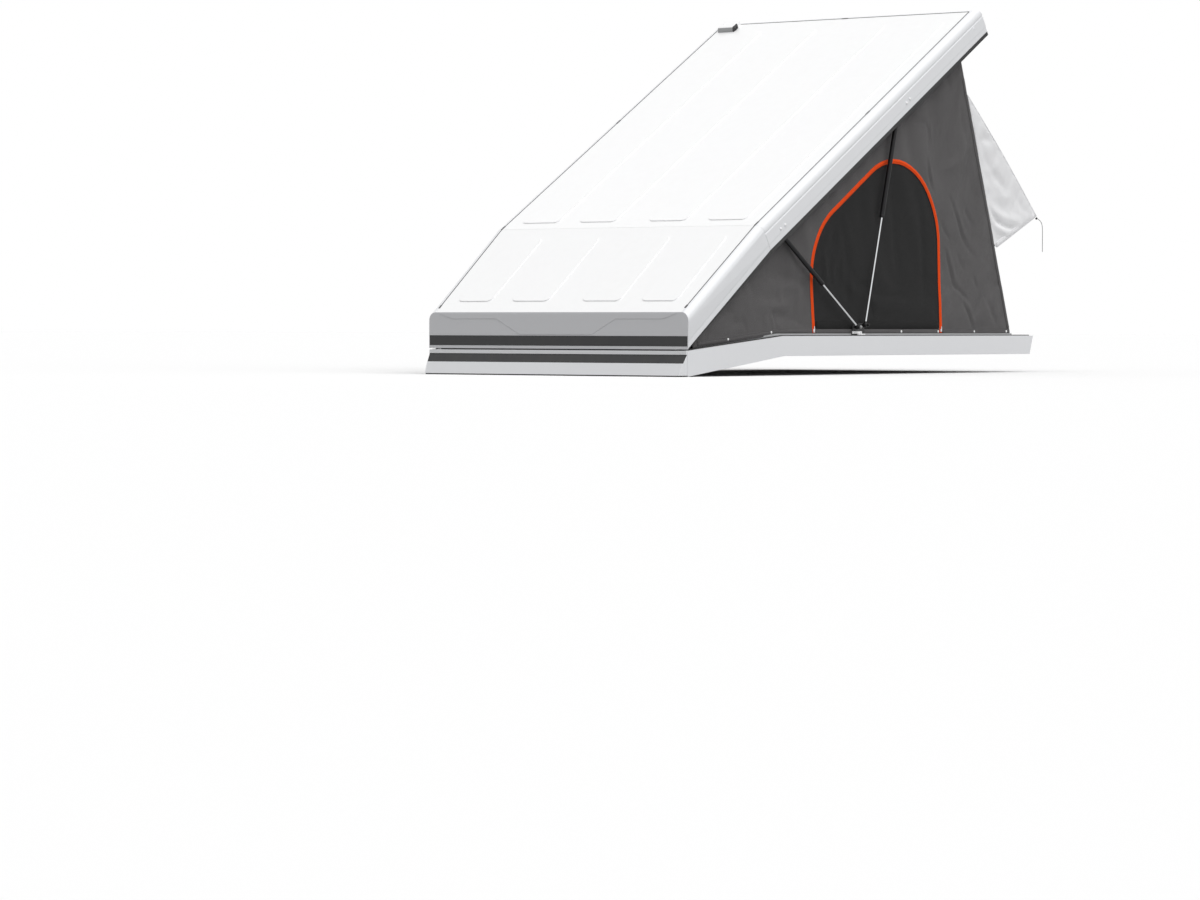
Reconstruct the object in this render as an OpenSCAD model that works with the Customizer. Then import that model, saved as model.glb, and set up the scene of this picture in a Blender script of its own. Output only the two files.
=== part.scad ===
// Pop top roof for a long off-road wagon: a front-hinged aluminium lid over a bonded base ring,
// shown open. Millimetres. Front faces -Y, the object's own left side is +X, up is +Z.
// Lengths along the roof are measured from the front face; every node is then centred on the origin.

/* [Lid] */
// Angle between the open lid and the base ring
open_angle = 31.1; // [25:0.1:34]
// Distance of the hinge pin behind the front face
hinge_y = 10; // [9:1:14]
// Height of the hinge pin over the floor
hinge_z = 117; // [112:1:124]
// Height of the lid's top skin over the hinge pin, lid closed
lid_h = 214; // [180:1:240]
// Where the lid bends down towards the front, behind the hinge pin
lid_kink = 714; // [600:1:800]
// Slope of the lid's front part, lid closed
lid_slope = 6.25; // [4:0.05:8]
// Rear face of the lid behind the hinge pin
lid_len = 2792; // [2700:1:2900]
// Half width over the side rails
rail_x = 765; // [740:1:800]
// Half width of the top skin at its seams
seam_x = 725; // [700:1:740]
// Depth of the rail skirt below the top skin
rail_depth = 128; // [110:1:140]
// Drop of the rounded shoulder at the outer face
shoulder_drop = 36; // [20:1:45]
// Depth of the rubber seal under the skirt
seal_depth = 18; // [10:1:22]
// Inward lean of the lid's front cheeks
cheek_taper = 2.4; // [1.5:0.1:3.5]
// Thickness of the folded and extruded aluminium
sheet_t = 3; // [2:0.5:4]
// Height of the stiffening ribs over the skin
rib_h = 4; // [2:0.5:6]

/* [Base ring] */
// Half width over the side walls
base_x = 762; // [740:1:764]
// Rear edge of the ring behind the front face
base_len = 2786; // [2700:1:2800]
// Where the side walls bend down towards the front
base_kink = 690; // [600:1:740]
// Height of the side walls
rim_h = 89; // [70:1:110]
// How far the front of the ring reaches below the sides
front_drop = 88; // [60:1:92]
// Height of the front fascia over the floor
fascia_h = 113; // [100:1:114]
// How far the foot of the front fascia stands out over the windscreen
front_lean = 44; // [20:1:60]
// Forward lean of the rear wall over its height
rear_lean = 30; // [0:1:40]
// Width of the flat shelf round the top of the ring
shelf_w = 62; // [50:1:70]
// Inward lean of the ring's front part
base_taper = 2.32; // [1.5:0.01:3]

/* [Canvas] */
// Half width of the tent over the canvas
canvas_x = 715; // [712:1:718]
// Thickness of the fabric as modelled
canvas_t = 3; // [2:0.5:4]
// Foot of the rear canvas behind the front face
canvas_rear_y = 2652; // [2600:1:2670]
// Forward lean of the rear canvas per unit of height
canvas_lean = 0.3465; // [0.25:0.0005:0.4]
// Width of the coloured zip round the windows
zip_w = 16; // [10:1:24]

/* [Rear hood] */
// Reach of the hood's hem behind the front face
hood_reach = 2891; // [2800:1:2960]
// Height of the hood's outer corners
hood_corner_z = 761; // [700:1:820]
// Height of the hood's top edge on the canvas
hood_top_z = 1327; // [1250:1:1400]
// Height where the side gussets end on the canvas
gusset_foot_z = 597; // [560:1:640]

/* [Gas struts] */
// Lower stud of the front strut, behind and over the hinge pin
front_foot = [1290, 101]; // [80:1:1400]
// Lower stud of the rear strut, behind and over the hinge pin
rear_foot = [1350, 110]; // [80:1:1400]
// Upper stud of the front strut on the closed lid
front_head = [830, 135]; // [100:1:1200]
// Upper stud of the rear strut on the closed lid
rear_head = [1990, 145]; // [100:1:2200]
// Length of the front strut's cylinder from its upper stud
front_tube = 440; // [380:1:446]
// Length of the rear strut's cylinder from its upper stud
rear_tube = 563; // [500:1:600]
// Outer radius of the cylinders
tube_r = 11; // [9:0.5:12]
// Radius of the chromed rods
rod_r = 5; // [4:0.5:6]

/* [Hidden] */

lip = 4;
front_reach = front_lean + lip;
mid_y = (hood_reach - front_reach) / 2;
front_x = base_x - base_kink * tan(base_taper);
fascia_back = 3.2;
rim_z = front_drop + rim_h;
gap = 0.5;
aluminium = "gainsboro";
dark = [0.16, 0.16, 0.17];
cloth = [0.36, 0.36, 0.37];

// Puts a shape that is drawn from the front face into the centred frame
module placed() {
    translate([0, -mid_y, 0]) children();
}

// Puts a shape of the closed lid, drawn from the hinge pin, into the open pose
module lid_pose() {
    translate([0, hinge_y, hinge_z]) rotate([open_angle, 0, 0]) children();
}

// Stretches a side outline (along the roof, up) across the roof from x0 to x1
module across(x0, x1) {
    translate([x0, 0, 0]) rotate([90, 0, 90]) linear_extrude(x1 - x0) children();
}

// Side outline (along the roof, up) stretched across from x0 to x1, its part in front of the
// kink turned in towards the nose
module bent(x0, x1, outline) {
    turn_in = base_kink * tan(base_taper);
    intersection() {
        across(x0 - turn_in - 1, x1 + 1) polygon(outline);
        translate([0, 0, -10]) linear_extrude(2200)
            polygon([[x0 - turn_in, 0], [x1 - turn_in, 0], [x1, base_kink], [x1, base_len + 10],
                     [x0, base_len + 10], [x0, base_kink]]);
    }
}

// Outline of a strip that follows the ring's top from y0 to y1, between two heights over it
function top_strip(y0, y1, h0, h1) =
    [[y0, rim_at(y0) + h0], [base_kink, rim_z + h0], [y1, rim_z + h0], [y1, rim_z + h1],
     [base_kink, rim_z + h1], [y0, rim_at(y0) + h1]];

module right_hand() {
    mirror([1, 0, 0]) children();
}

// The top of the ring along the roof, level behind the kink and sloping in front of it
function rim_at(y) = y >= base_kink ? rim_z : fascia_h + (rim_z - fascia_h) * y / base_kink;
function foot_at(y) = y >= base_kink ? front_drop : front_drop * y / base_kink;

// Place of a point of the closed lid after opening, from the front face and the floor
function opened(p) = [hinge_y + p[0] * cos(open_angle) - p[1] * sin(open_angle),
                      hinge_z + p[0] * sin(open_angle) + p[1] * cos(open_angle)];
function rear_line(z) = canvas_rear_y - canvas_lean * (z - 195);

// Outline with each corner [y, z, r] rounded by its radius r
function unit(v) = v / norm(v);
function fillet(a, b, c, r) =
    let (u = unit([a[0] - b[0], a[1] - b[1]]), v = unit([c[0] - b[0], c[1] - b[1]]),
         half = acos(u * v) / 2, t = r / tan(half), p = [b[0], b[1]] + u * t,
         q = [b[0], b[1]] + v * t, m = [b[0], b[1]] + unit(u + v) * (r / sin(half)),
         steps = 7)
    [for (i = [0:steps]) m + r * unit((p - m) * (1 - i / steps) + (q - m) * (i / steps))];
function rounded(pts) =
    let (n = len(pts))
    [for (i = [0:n - 1]) each pts[i][2] == 0 ? [[pts[i][0], pts[i][1]]]
        : fillet(pts[(i + n - 1) % n], pts[i], pts[(i + 1) % n], pts[i][2])];

/* Base ring */

module base_side() {
    foot_end = base_len - 82;
    rear_top = base_len - sheet_t;
    color(aluminium) placed() {
        bent(base_x - sheet_t, base_x,
             [[fascia_back, foot_at(fascia_back)], [base_kink, front_drop],
              [rear_top - rear_lean, front_drop], [rear_top, rim_z], [base_kink, rim_z],
              [fascia_back, rim_at(fascia_back)]]);
        bent(base_x - shelf_w, base_x - 1,
             top_strip(fascia_back, canvas_rear_y - 12, -sheet_t, 0));
        bent(base_x - 40, base_x - 1,
             [[fascia_back, foot_at(fascia_back)], [base_kink, front_drop], [foot_end, front_drop],
              [foot_end, front_drop + sheet_t], [base_kink, front_drop + sheet_t],
              [fascia_back, foot_at(fascia_back) + sheet_t]]);
        bent(canvas_x - 6, canvas_x - 3, top_strip(60, canvas_rear_y - 14, -1, 20));
    }
}

module base_side_left() {
    base_side();
}

module base_side_right() {
    right_hand() base_side();
}

module base_rear_wall() {
    inner = base_x - sheet_t - 0.2;
    color(aluminium) placed() {
        across(-base_x, base_x)
            polygon([[base_len - rear_lean - sheet_t + 0.2, front_drop], [base_len - rear_lean, front_drop],
                     [base_len, rim_z], [base_len - sheet_t + 0.2, rim_z]]);
        translate([-inner, canvas_rear_y - 11, rim_z - sheet_t])
            cube([2 * inner, base_len - 2 - (canvas_rear_y - 11), sheet_t]);
        translate([-inner, base_len - 81, front_drop])
            cube([2 * inner, 81 - rear_lean - 2, sheet_t]);
        translate([6 - canvas_x, canvas_rear_y - 9, rim_z - 1])
            cube([2 * canvas_x - 12, 3, 21]);
    }
}

seal_h = 5;
band_foot = 58;
band_head = 96;

// The face of the front shell at a height over the floor: it leans out below its lip
function face_at(z) = z >= band_head ? 0
    : z >= band_foot ? -front_lean / 2 * (band_head - z) / (band_head - band_foot)
    : -front_lean / 2 * (1 + (band_foot - z) / (band_foot - seal_h));

// Side outline of a strip along that face from z0 up to z1, between two depths behind it
module face_strip(z0, z1, d0, d1) {
    polygon([[face_at(z0) + d0, z0], [face_at(z0) + d1, z0], [face_at(z1) + d1, z1],
             [face_at(z1) + d0, z1]]);
}

// Plan of the fascia's left end, which turns in from the side wall to the leaning face
fascia_end = [[front_x, sheet_t], [front_x - 4, -lip], [front_x - 13, -front_reach - 1]];

// Stretches strips of the face over the width between the two ends
module over_front() {
    outline = concat([[front_x, sheet_t + 5]], fascia_end);
    n = len(outline);
    intersection() {
        across(-front_x, front_x) children();
        linear_extrude(fascia_h)
            polygon(concat(outline, [for (i = [n - 1:-1:0]) [-outline[i][0], outline[i][1]]]));
    }
}

// Folded end that closes the gap between the leaning face and the side wall
module fascia_return() {
    inner = [for (i = [2:-1:0]) fascia_end[i] - [sheet_t, 0]];
    intersection() {
        linear_extrude(fascia_h) polygon(concat(fascia_end, inner));
        across(front_x - 30, front_x + 1)
            polygon([[sheet_t, seal_h], [sheet_t, band_head], [face_at(band_head) + 1, band_head],
                     [face_at(band_foot) + 1, band_foot], [face_at(seal_h) + 1, seal_h]]);
    }
    across(front_x - 42, front_x)
        translate([0, seal_h]) square([sheet_t, fascia_h - seal_h]);
}

// Front cross member with a raised lip, a recess for the dark band and a lower panel
module front_fascia() {
    color(aluminium) placed() {
        over_front() {
            face_strip(band_head, fascia_h, -lip, sheet_t);
            face_strip(band_foot, band_head, 0, sheet_t);
            face_strip(seal_h, band_foot, -lip, sheet_t);
        }
        fascia_return();
        right_hand() fascia_return();
        across(shelf_w - front_x + 1, front_x - shelf_w - 1)
            translate([0, fascia_h - 2 * sheet_t]) square([60, sheet_t]);
        across(41 - front_x, front_x - 41)
            translate([-front_lean, seal_h]) square([front_lean + 40, sheet_t]);
    }
}

module fascia_band() {
    color(dark) placed() over_front() face_strip(band_foot, band_head, -1.5, 0);
}

module windscreen_seal() {
    color(dark) placed() across(17 - front_x, front_x - 17)
        translate([-front_lean - 2, 0]) square([30, seal_h]);
}

module front_deck() {
    half = front_x - shelf_w - 1;
    color(aluminium) placed() across(-half, half)
        polygon([[61, rim_at(61) - sheet_t], [560, rim_at(560) - sheet_t], [560, rim_at(560)],
                 [61, rim_at(61)]]);
}

gasket_h = 4;
module base_gasket() {
    color(dark) placed() {
        for (s = [0, 1]) mirror([s, 0, 0])
            bent(base_x - 23, base_x - 14, top_strip(30, base_len - 14, 0.2, gasket_h));
        translate([22 - base_x, base_len - 24, rim_z + 0.2])
            cube([2 * base_x - 44, 10, gasket_h - 0.2]);
    }
}

module canvas_clamp() {
    color("silver") placed() {
        for (s = [0, 1]) mirror([s, 0, 0])
            bent(canvas_x + 0.2, canvas_x + 3, top_strip(60, canvas_rear_y + 9, 3, 11));
        translate([-canvas_x - 0.2, canvas_rear_y + 6, rim_z + 3])
            cube([2 * canvas_x + 0.4, 3, 8]);
    }
}

// Plate on the shelf with one stud for each strut and two lugs that bolt it down
module strut_foot() {
    plate_x = canvas_x + 5.8;
    lug_x = plate_x + sheet_t - 0.5;
    color("silver") placed() {
        across(plate_x, plate_x + sheet_t)
            polygon([[1276, rim_z], [1384, rim_z], [1374, rim_z + 59], [1344, rim_z + 59],
                     [1314, rim_z + 50], [1286, rim_z + 50]]);
        translate([lug_x, 1277, rim_z + 10]) cube([5, 75, 11]);
        translate([lug_x, 1319, rim_z]) cube([9, 55, 10.5]);
        for (foot = [front_foot, rear_foot])
            translate([plate_x + 2, hinge_y + foot[0], hinge_z + foot[1]]) rotate([0, 90, 0])
                cylinder(h = 30, r = 5, $fn = 32);
    }
}

module strut_foot_left() {
    strut_foot();
}

module strut_foot_right() {
    right_hand() strut_foot();
}

/* Piano hinge along the nose */

knuckles = 9;
hinge_half = 668;
knuckle_len = 2 * hinge_half / knuckles;
knuckle_r = 5;
pin_r = 2;
leaf_z = fascia_h - sheet_t;

module knuckle_row(first) {
    for (i = [first:2:knuckles - 1])
        translate([-hinge_half + i * knuckle_len + 0.5, 0, 0]) {
            translate([0, hinge_y, hinge_z]) rotate([0, 90, 0])
                cylinder(h = knuckle_len - 1, r = knuckle_r, $fn = 32);
            translate([0.3, 0, 0]) children();
        }
}

module hinge_base_leaf() {
    color("silver") placed() {
        knuckle_row(0) translate([0, hinge_y - 2, leaf_z + 1])
            cube([knuckle_len - 1.6, 4, 3]);
        translate([-hinge_half + 2, hinge_y, hinge_z]) rotate([0, 90, 0])
            cylinder(h = 2 * hinge_half - 4, r = pin_r, $fn = 32);
        translate([-hinge_half, 5, leaf_z]) cube([2 * hinge_half, 34, 1.5]);
    }
}

module hinge_lid_leaf() {
    color("silver") placed() difference() {
        union() {
            knuckle_row(1) translate([0, sheet_t + 1, hinge_z]) cube([knuckle_len - 1.6, 4, 10]);
            translate([-hinge_half, sheet_t, hinge_z + 6]) cube([2 * hinge_half, 2, 30]);
        }
        translate([-hinge_half - 1, hinge_y, hinge_z]) rotate([0, 90, 0])
            cylinder(h = 2 * hinge_half + 2, r = pin_r + 0.1, $fn = 32);
    }
}

/* Lid */

// Thin section of the rail: ledge under the skin, rounded shoulder, skirt
shoulder_w = rail_x - seam_x;
function arc(cx, cz, rx, rz, a0, a1, n) =
    [for (i = [0:n]) let (a = a0 + (a1 - a0) * i / n) [cx + rx * cos(a), cz + rz * sin(a)]];

module rail_section(grooved) {
    top = lid_h;
    low = lid_h - rail_depth;
    cz = top - shoulder_drop;
    groove = grooved ? [[rail_x, cz - 2], [rail_x - 3, cz - 8], [rail_x - 3, cz - 9],
                        [rail_x, cz - 14]] : [];
    polygon(concat(
        [[seam_x, top]],
        arc(seam_x + 4, cz, shoulder_w - 4, shoulder_drop, 84, 0, 8),
        groove,
        [[rail_x, low + 27], [rail_x - 1, low + 26], [rail_x - 1, low], [rail_x - 8, low],
         [rail_x - 8, low + sheet_t], [rail_x - sheet_t - 2, low + sheet_t],
         [rail_x - sheet_t - 2, cz]],
        arc(seam_x + 4, cz, shoulder_w - 9, shoulder_drop - 7, 12, 84, 6),
        [[seam_x - 25, top - 7], [seam_x - 25, top - 4], [seam_x, top - 4]]));
}

// Vertical cut in front of the lid's nose, open lid
module ahead_of_nose(back) {
    translate([-900, -400, -50]) cube([1800, 400 + back, 800]);
}

module side_rail() {
    color(aluminium) placed() lid_pose() difference() {
        translate([0, lid_len, 0]) rotate([90, 0, 0]) linear_extrude(lid_len - lid_kink)
            rail_section(true);
        rear_mitre();
    }
}

// Everything outside the 45 degree mitre at the rear left corner
module rear_mitre() {
    translate([rail_x, lid_len, -50]) rotate([0, 0, 45]) translate([-500, -0.2, 0])
        cube([1000, 400, 400]);
}

module side_rail_left() {
    side_rail();
}

module side_rail_right() {
    right_hand() side_rail();
}

module rear_rail() {
    color(aluminium) placed() lid_pose() difference() {
        translate([-rail_x, lid_len - rail_x, 0]) rotate([90, 0, 90]) linear_extrude(2 * rail_x)
            rail_section(true);
        for (s = [0, 1]) mirror([s, 0, 0])
            translate([rail_x, lid_len, -50]) rotate([0, 0, 45]) translate([-500, -399.8, 0])
                cube([1000, 400, 400]);
    }
}

// Brings a shape drawn on the kink of the lid down along its sloping front part
module cheek_pose(taper) {
    translate([rail_x, lid_kink, lid_h]) rotate([lid_slope, 0, 0]) rotate([0, 0, -taper])
        translate([-rail_x, 0, -lid_h]) children();
}

module front_cheek() {
    color(aluminium) placed() difference() {
        lid_pose() difference() {
            cheek_pose(cheek_taper) translate([0, 40, 0]) rotate([90, 0, 0]) linear_extrude(800)
                rail_section(false);
            translate([0, lid_kink - gap, -50]) cube([900, 200, 400]);
        }
        ahead_of_nose(sheet_t + 0.2);
    }
}

module front_cheek_left() {
    front_cheek();
}

module front_cheek_right() {
    right_hand() front_cheek();
}

// Raised panel with round corners, as a flat outline
module rib_outline(x0, x1, y0, y1, r) {
    translate([x0 + r, y0]) square([x1 - x0 - 2 * r, y1 - y0]);
    translate([x0, y0 + r]) square([x1 - x0, y1 - y0 - 2 * r]);
    for (x = [x0 + r, x1 - r], y = [y0 + r, y1 - r]) translate([x, y]) circle(r = r, $fn = 24);
}

rib_r = 28;
module rib_row(y0, y1, outer) {
    for (span = [[95, 308], [427, outer]], s = [0, 1]) mirror([s, 0, 0])
        rib_outline(span[0], span[1], y0, y1, rib_r);
}

module lid_top_main() {
    color("white") placed() lid_pose() translate([0, 0, lid_h - sheet_t]) {
        translate([1 - seam_x, lid_kink, 0])
            cube([2 * seam_x - 2, lid_len - shoulder_w - 1 - lid_kink, sheet_t]);
        linear_extrude(sheet_t + rib_h) rib_row(766, 2645, 645);
    }
}

module lid_top_front() {
    nose_half = seam_x - 650 * tan(cheek_taper);
    color("white") placed() difference() {
        lid_pose() difference() {
            translate([0, lid_kink, lid_h]) rotate([lid_slope, 0, 0]) translate([0, -lid_kink, -sheet_t]) {
                linear_extrude(sheet_t)
                    polygon([[1 - seam_x, lid_kink + 5], [1 - seam_x, lid_kink],
                             [1 - nose_half, lid_kink - 650], [nose_half - 1, lid_kink - 650],
                             [seam_x - 1, lid_kink], [seam_x - 1, lid_kink + 5]]);
                linear_extrude(sheet_t + rib_h) rib_row(156, 633, 622);
            }
            translate([-900, lid_kink - gap, -50]) cube([1800, 200, 400]);
        }
        ahead_of_nose(sheet_t + 0.2);
    }
}

// Upright plate that closes the front of the open lid
nose_z = 279;
nose_half = 736;
module nose_outline() {
    polygon(rounded([[-nose_half, hinge_z + 2, 0], [nose_half, hinge_z + 2, 0],
                     [nose_half, nose_z + 3, 36], [-nose_half, nose_z + 3, 36]]));
}

module nose_plate() {
    color(aluminium) placed() difference() {
        translate([0, sheet_t, 0]) rotate([90, 0, 0]) linear_extrude(sheet_t) nose_outline();
        translate([-nose_half + 3, -1, 132]) cube([2 * nose_half - 6, 2.5, 45]);
    }
}

module nose_band() {
    color(dark) placed() translate([-nose_half + 3.5, 0.2, 132.5]) cube([2 * nose_half - 7, 1.3, 44]);
}

module seal_run() {
    low = lid_h - rail_depth;
    translate([rail_x - 8, lid_kink, low - seal_depth])
        cube([7, lid_len - 1 - lid_kink, seal_depth]);
}

module lid_seal() {
    low = lid_h - rail_depth;
    color(dark) placed() {
        lid_pose() {
            seal_run();
            right_hand() seal_run();
            translate([1 - rail_x, lid_len - 8, low - seal_depth])
                cube([2 * rail_x - 2, 7, seal_depth]);
        }
        for (s = [0, 1]) mirror([s, 0, 0]) difference() {
            lid_pose() difference() {
                cheek_pose(cheek_taper) translate([rail_x - 8, -760, low - seal_depth])
                    cube([7, 800, seal_depth]);
                translate([0, lid_kink + 1, -50]) cube([900, 200, 400]);
                translate([0, -hinge_y, -hinge_z]) across(600, 900)
                    polygon([[-60, 0], [760, 0], [760, rim_z + 7], [base_kink, rim_z + 7],
                             [-60, rim_at(-60) + 7]]);
            }
            ahead_of_nose(30);
        }
    }
}

module cable_entry() {
    color(dark) placed() lid_pose() mirror([1, 0, 0]) difference() {
        translate([624, 2672, lid_h]) cube([106, 78, 22]);
        translate([600, 2672, lid_h + 6]) rotate([60, 0, 0]) cube([200, 60, 30]);
    }
}

module strut_head_plates() {
    inner = rail_x - sheet_t - 2;
    color("silver") placed() lid_pose()
        for (head = [front_head, rear_head], s = [0, 1]) mirror([s, 0, 0]) {
            translate([inner - 3, head[0] - 32, head[1] - 18]) cube([3, 64, 36]);
            translate([inner - 4.4, head[0], head[1]]) rotate([0, 90, 0])
                cylinder(h = 3, r = 5, $fn = 32);
        }
}

/* Gas struts */

strut_x = 740;
eye_w = 16;
eye_r = 10;

// Draws along +Z from the lower stud towards the upper one
module along_strut(foot, head) {
    top = opened(head);
    bottom = [hinge_y + foot[0], hinge_z + foot[1]];
    lean = atan2(top[0] - bottom[0], top[1] - bottom[1]);
    translate([strut_x, bottom[0], bottom[1]]) rotate([-lean, 0, 0]) children();
}

function strut_len(foot, head) =
    norm(opened(head) - [hinge_y + foot[0], hinge_z + foot[1]]);

module eye(bore_r) {
    difference() {
        rotate([0, 90, 0]) cylinder(h = eye_w, r = eye_r, center = true, $fn = 32);
        rotate([0, 90, 0]) cylinder(h = eye_w + 2, r = bore_r, center = true, $fn = 32);
    }
}

module strut_rod(foot, head, tube) {
    reach = strut_len(foot, head) - tube + 18;
    color("lightgray") placed() along_strut(foot, head) {
        eye(5.3);
        translate([0, 0, 7]) cylinder(h = reach - 7, r = rod_r, $fn = 32);
    }
}

module strut_tube(foot, head, tube) {
    span = strut_len(foot, head);
    wall = 2;
    gland = 10;
    color(dark) placed() along_strut(foot, head) {
        translate([0, 0, span]) eye(5.3);
        difference() {
            translate([0, 0, span - tube]) cylinder(h = tube - 8, r = tube_r, $fn = 32);
            translate([0, 0, span - tube + gland]) cylinder(h = tube - gland - 26, r = tube_r - wall, $fn = 32);
            translate([0, 0, span - tube - 1]) cylinder(h = gland + 2, r = rod_r + 0.3, $fn = 32);
            translate([0, 0, span]) rotate([0, 90, 0]) cylinder(h = 40, r = 5.3, center = true, $fn = 32);
        }
    }
}

module strut_rod_front_left() {
    strut_rod(front_foot, front_head, front_tube);
}

module strut_rod_front_right() {
    right_hand() strut_rod(front_foot, front_head, front_tube);
}

module strut_rod_rear_left() {
    strut_rod(rear_foot, rear_head, rear_tube);
}

module strut_rod_rear_right() {
    right_hand() strut_rod(rear_foot, rear_head, rear_tube);
}

module strut_tube_front_left() {
    strut_tube(front_foot, front_head, front_tube);
}

module strut_tube_front_right() {
    right_hand() strut_tube(front_foot, front_head, front_tube);
}

module strut_tube_rear_left() {
    strut_tube(rear_foot, rear_head, rear_tube);
}

module strut_tube_rear_right() {
    right_hand() strut_tube(rear_foot, rear_head, rear_tube);
}

/* Canvas and windows */

under_lid = lid_h - 12;
kink_top = opened([lid_kink, under_lid]);
nose_top = opened([110, under_lid - 604 * tan(lid_slope)]);
rear_top_z = 1640;

window_side = [[987, 150, 0], [948, 633, 350], [1761, 1128, 365], [2008, 712, 401], [2037, 150, 0]];
window_foot = 208;
window_back = [[-430, 260, 60], [430, 260, 60], [430, 1150, 200], [-430, 1150, 200]];

module canvas_left() {
    canvas_half();
}

module canvas_right() {
    right_hand() canvas_half();
}

module canvas_half() {
    foot = rim_z + 2;
    color(cloth) placed() difference() {
        bent(canvas_x - canvas_t, canvas_x,
             [[64, rim_at(64) + 2], [base_kink, foot], [rear_line(foot) - 1, foot],
              [rear_line(rear_top_z) - 1, rear_top_z], kink_top, [nose_top[0] + 40, nose_top[1]]]);
        across(canvas_x - 10, canvas_x + 10) side_opening(0);
    }
}

module canvas_rear() {
    foot = rim_z + 2;
    half = canvas_x - canvas_t - 0.5;
    color(cloth) placed() difference() {
        across(-half, half)
            polygon([[rear_line(foot) - canvas_t, foot], [rear_line(foot), foot],
                     [rear_line(rear_top_z), rear_top_z], [rear_line(rear_top_z) - canvas_t, rear_top_z]]);
        translate([0, 3000, 0]) rotate([90, 0, 0]) linear_extrude(1000) polygon(rounded(window_back));
    }
}

module side_pane() {
    color(dark) placed() across(canvas_x - 2, canvas_x - 1) side_opening(0.3);
}

// Middle line of the side window's zip, shrunk by a nearly even gap
module scaled_window(inset) {
    cy = 1511;
    cz = 597;
    k = 1 - inset / 400;
    translate([cy * (1 - k), cz * (1 - k)]) scale([k, k]) polygon(rounded(window_side));
}

// The window ends over a strip of canvas, though its zip runs on down to the clamp
module side_opening(inset) {
    difference() {
        scaled_window(zip_w / 2 + inset);
        translate([900, 100]) square([1200, window_foot - 100 + inset]);
    }
}

module window_left() {
    side_pane();
}

module window_right() {
    right_hand() side_pane();
}

module window_rear() {
    color(dark) placed() intersection() {
        across(-426, 426)
            polygon([[rear_line(264) - 2, 264], [rear_line(264) - 1, 264],
                     [rear_line(1146) - 1, 1146], [rear_line(1146) - 2, 1146]]);
        translate([0, 3000, 0]) rotate([90, 0, 0]) linear_extrude(1000) translate([0, 705 * 0.006])
            scale([0.994, 0.994]) polygon(rounded(window_back));
    }
}

module side_zip() {
    across(canvas_x + 0.3, canvas_x + 3) difference() {
        scaled_window(-zip_w / 2);
        scaled_window(zip_w / 2);
        translate([900, 100]) square([1200, 90]);
    }
}

// Closed loop round the rear window, on the leaning canvas
module rear_zip() {
    grow = 14;
    wide = 1 + grow / 430;
    high = 1 + 2 * grow / 890;
    intersection() {
        across(-600, 600)
            polygon([[rear_line(200) + 0.3, 200], [rear_line(200) + 3, 200],
                     [rear_line(1200) + 3, 1200], [rear_line(1200) + 0.3, 1200]]);
        translate([0, 3000, 0]) rotate([90, 0, 0]) linear_extrude(1000) difference() {
            translate([0, 705 * (1 - high)]) scale([wide, high]) polygon(rounded(window_back));
            polygon(rounded(window_back));
        }
    }
}

module window_zips() {
    color("orangered") placed() {
        side_zip();
        right_hand() side_zip();
        rear_zip();
    }
}

/* Rear hood */

module hood_side() {
    across(canvas_x - canvas_t, canvas_x)
        polygon([[rear_line(hood_top_z) + 1, hood_top_z], [hood_reach, hood_corner_z],
                 [rear_line(gusset_foot_z) + 1, gusset_foot_z]]);
}

module rear_hood() {
    color("whitesmoke") placed() {
        hood_side();
        right_hand() hood_side();
        across(-canvas_x, canvas_x)
            polygon([[rear_line(hood_top_z) + 1, hood_top_z], [hood_reach, hood_corner_z],
                     [hood_reach - 4, hood_corner_z], [rear_line(hood_top_z - 4) + 1, hood_top_z - 4]]);
    }
}

module hood_frame() {
    foot = [rear_line(gusset_foot_z) + 12, gusset_foot_z + 16];
    tip = [hood_reach - 12, hood_corner_z - 3];
    bar_x = canvas_x - canvas_t - 8;
    run = norm(tip - foot);
    color("silver") placed() {
        for (s = [-1, 1]) {
            translate([s * bar_x, foot[0], foot[1]]) rotate([-atan2(tip[0] - foot[0], tip[1] - foot[1]), 0, 0])
                cylinder(h = run - 1, r = 4, $fn = 24);
            translate([s * bar_x - 5, tip[0], tip[1]]) rotate([0, 90, 0])
                cylinder(h = 10, r = 5.5, $fn = 32);
        }
        translate([1 - bar_x, tip[0], tip[1]]) rotate([0, 90, 0])
            cylinder(h = 2 * bar_x - 2, r = 4, $fn = 24);
    }
}

cord_r = 1.5;
cord_x = 712;
cord_path = [[cord_x, 2897, 751], [cord_x + 1, 2905, 748], [cord_x + 2, 2913, 745], [cord_x + 3, 2920, 741],
             [cord_x + 4, 2927, 736], [cord_x + 4, 2933, 730], [cord_x + 4, 2938, 723],
             [cord_x + 4, 2941, 714], [cord_x + 4, 2943, 704], [cord_x + 4, 2944, 693],
             [cord_x + 4, 2944, 681], [cord_x + 4, 2944, 668], [cord_x + 4, 2944, 655],
             [cord_x + 4, 2944, 641], [cord_x + 4, 2944, 627], [cord_x + 4, 2944, 613],
             [cord_x + 4, 2944, 600], [cord_x + 4, 2944, 588]];

// Tube of a few sides through hand-chosen points
function ring(p, d, r, n) =
    let (side = unit(cross(d, [1, 0, 0])), other = cross(d, side))
    [for (k = [0:n - 1]) p + r * (cos(360 * k / n) * side + sin(360 * k / n) * other)];
function heading(path, i) =
    unit(path[min(i + 1, len(path) - 1)] - path[max(i - 1, 0)]);

module tube_along(path, r, n) {
    rings = [for (i = [0:len(path) - 1]) each ring(path[i], heading(path, i), r, n)];
    last = (len(path) - 1) * n;
    sides = [for (i = [0:len(path) - 2], k = [0:n - 1])
        [i * n + k, i * n + (k + 1) % n, (i + 1) * n + (k + 1) % n, (i + 1) * n + k]];
    caps = [[for (k = [n - 1:-1:0]) k], [for (k = [0:n - 1]) last + k]];
    polyhedron(rings, concat(sides, caps), convexity = 4);
}

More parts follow.
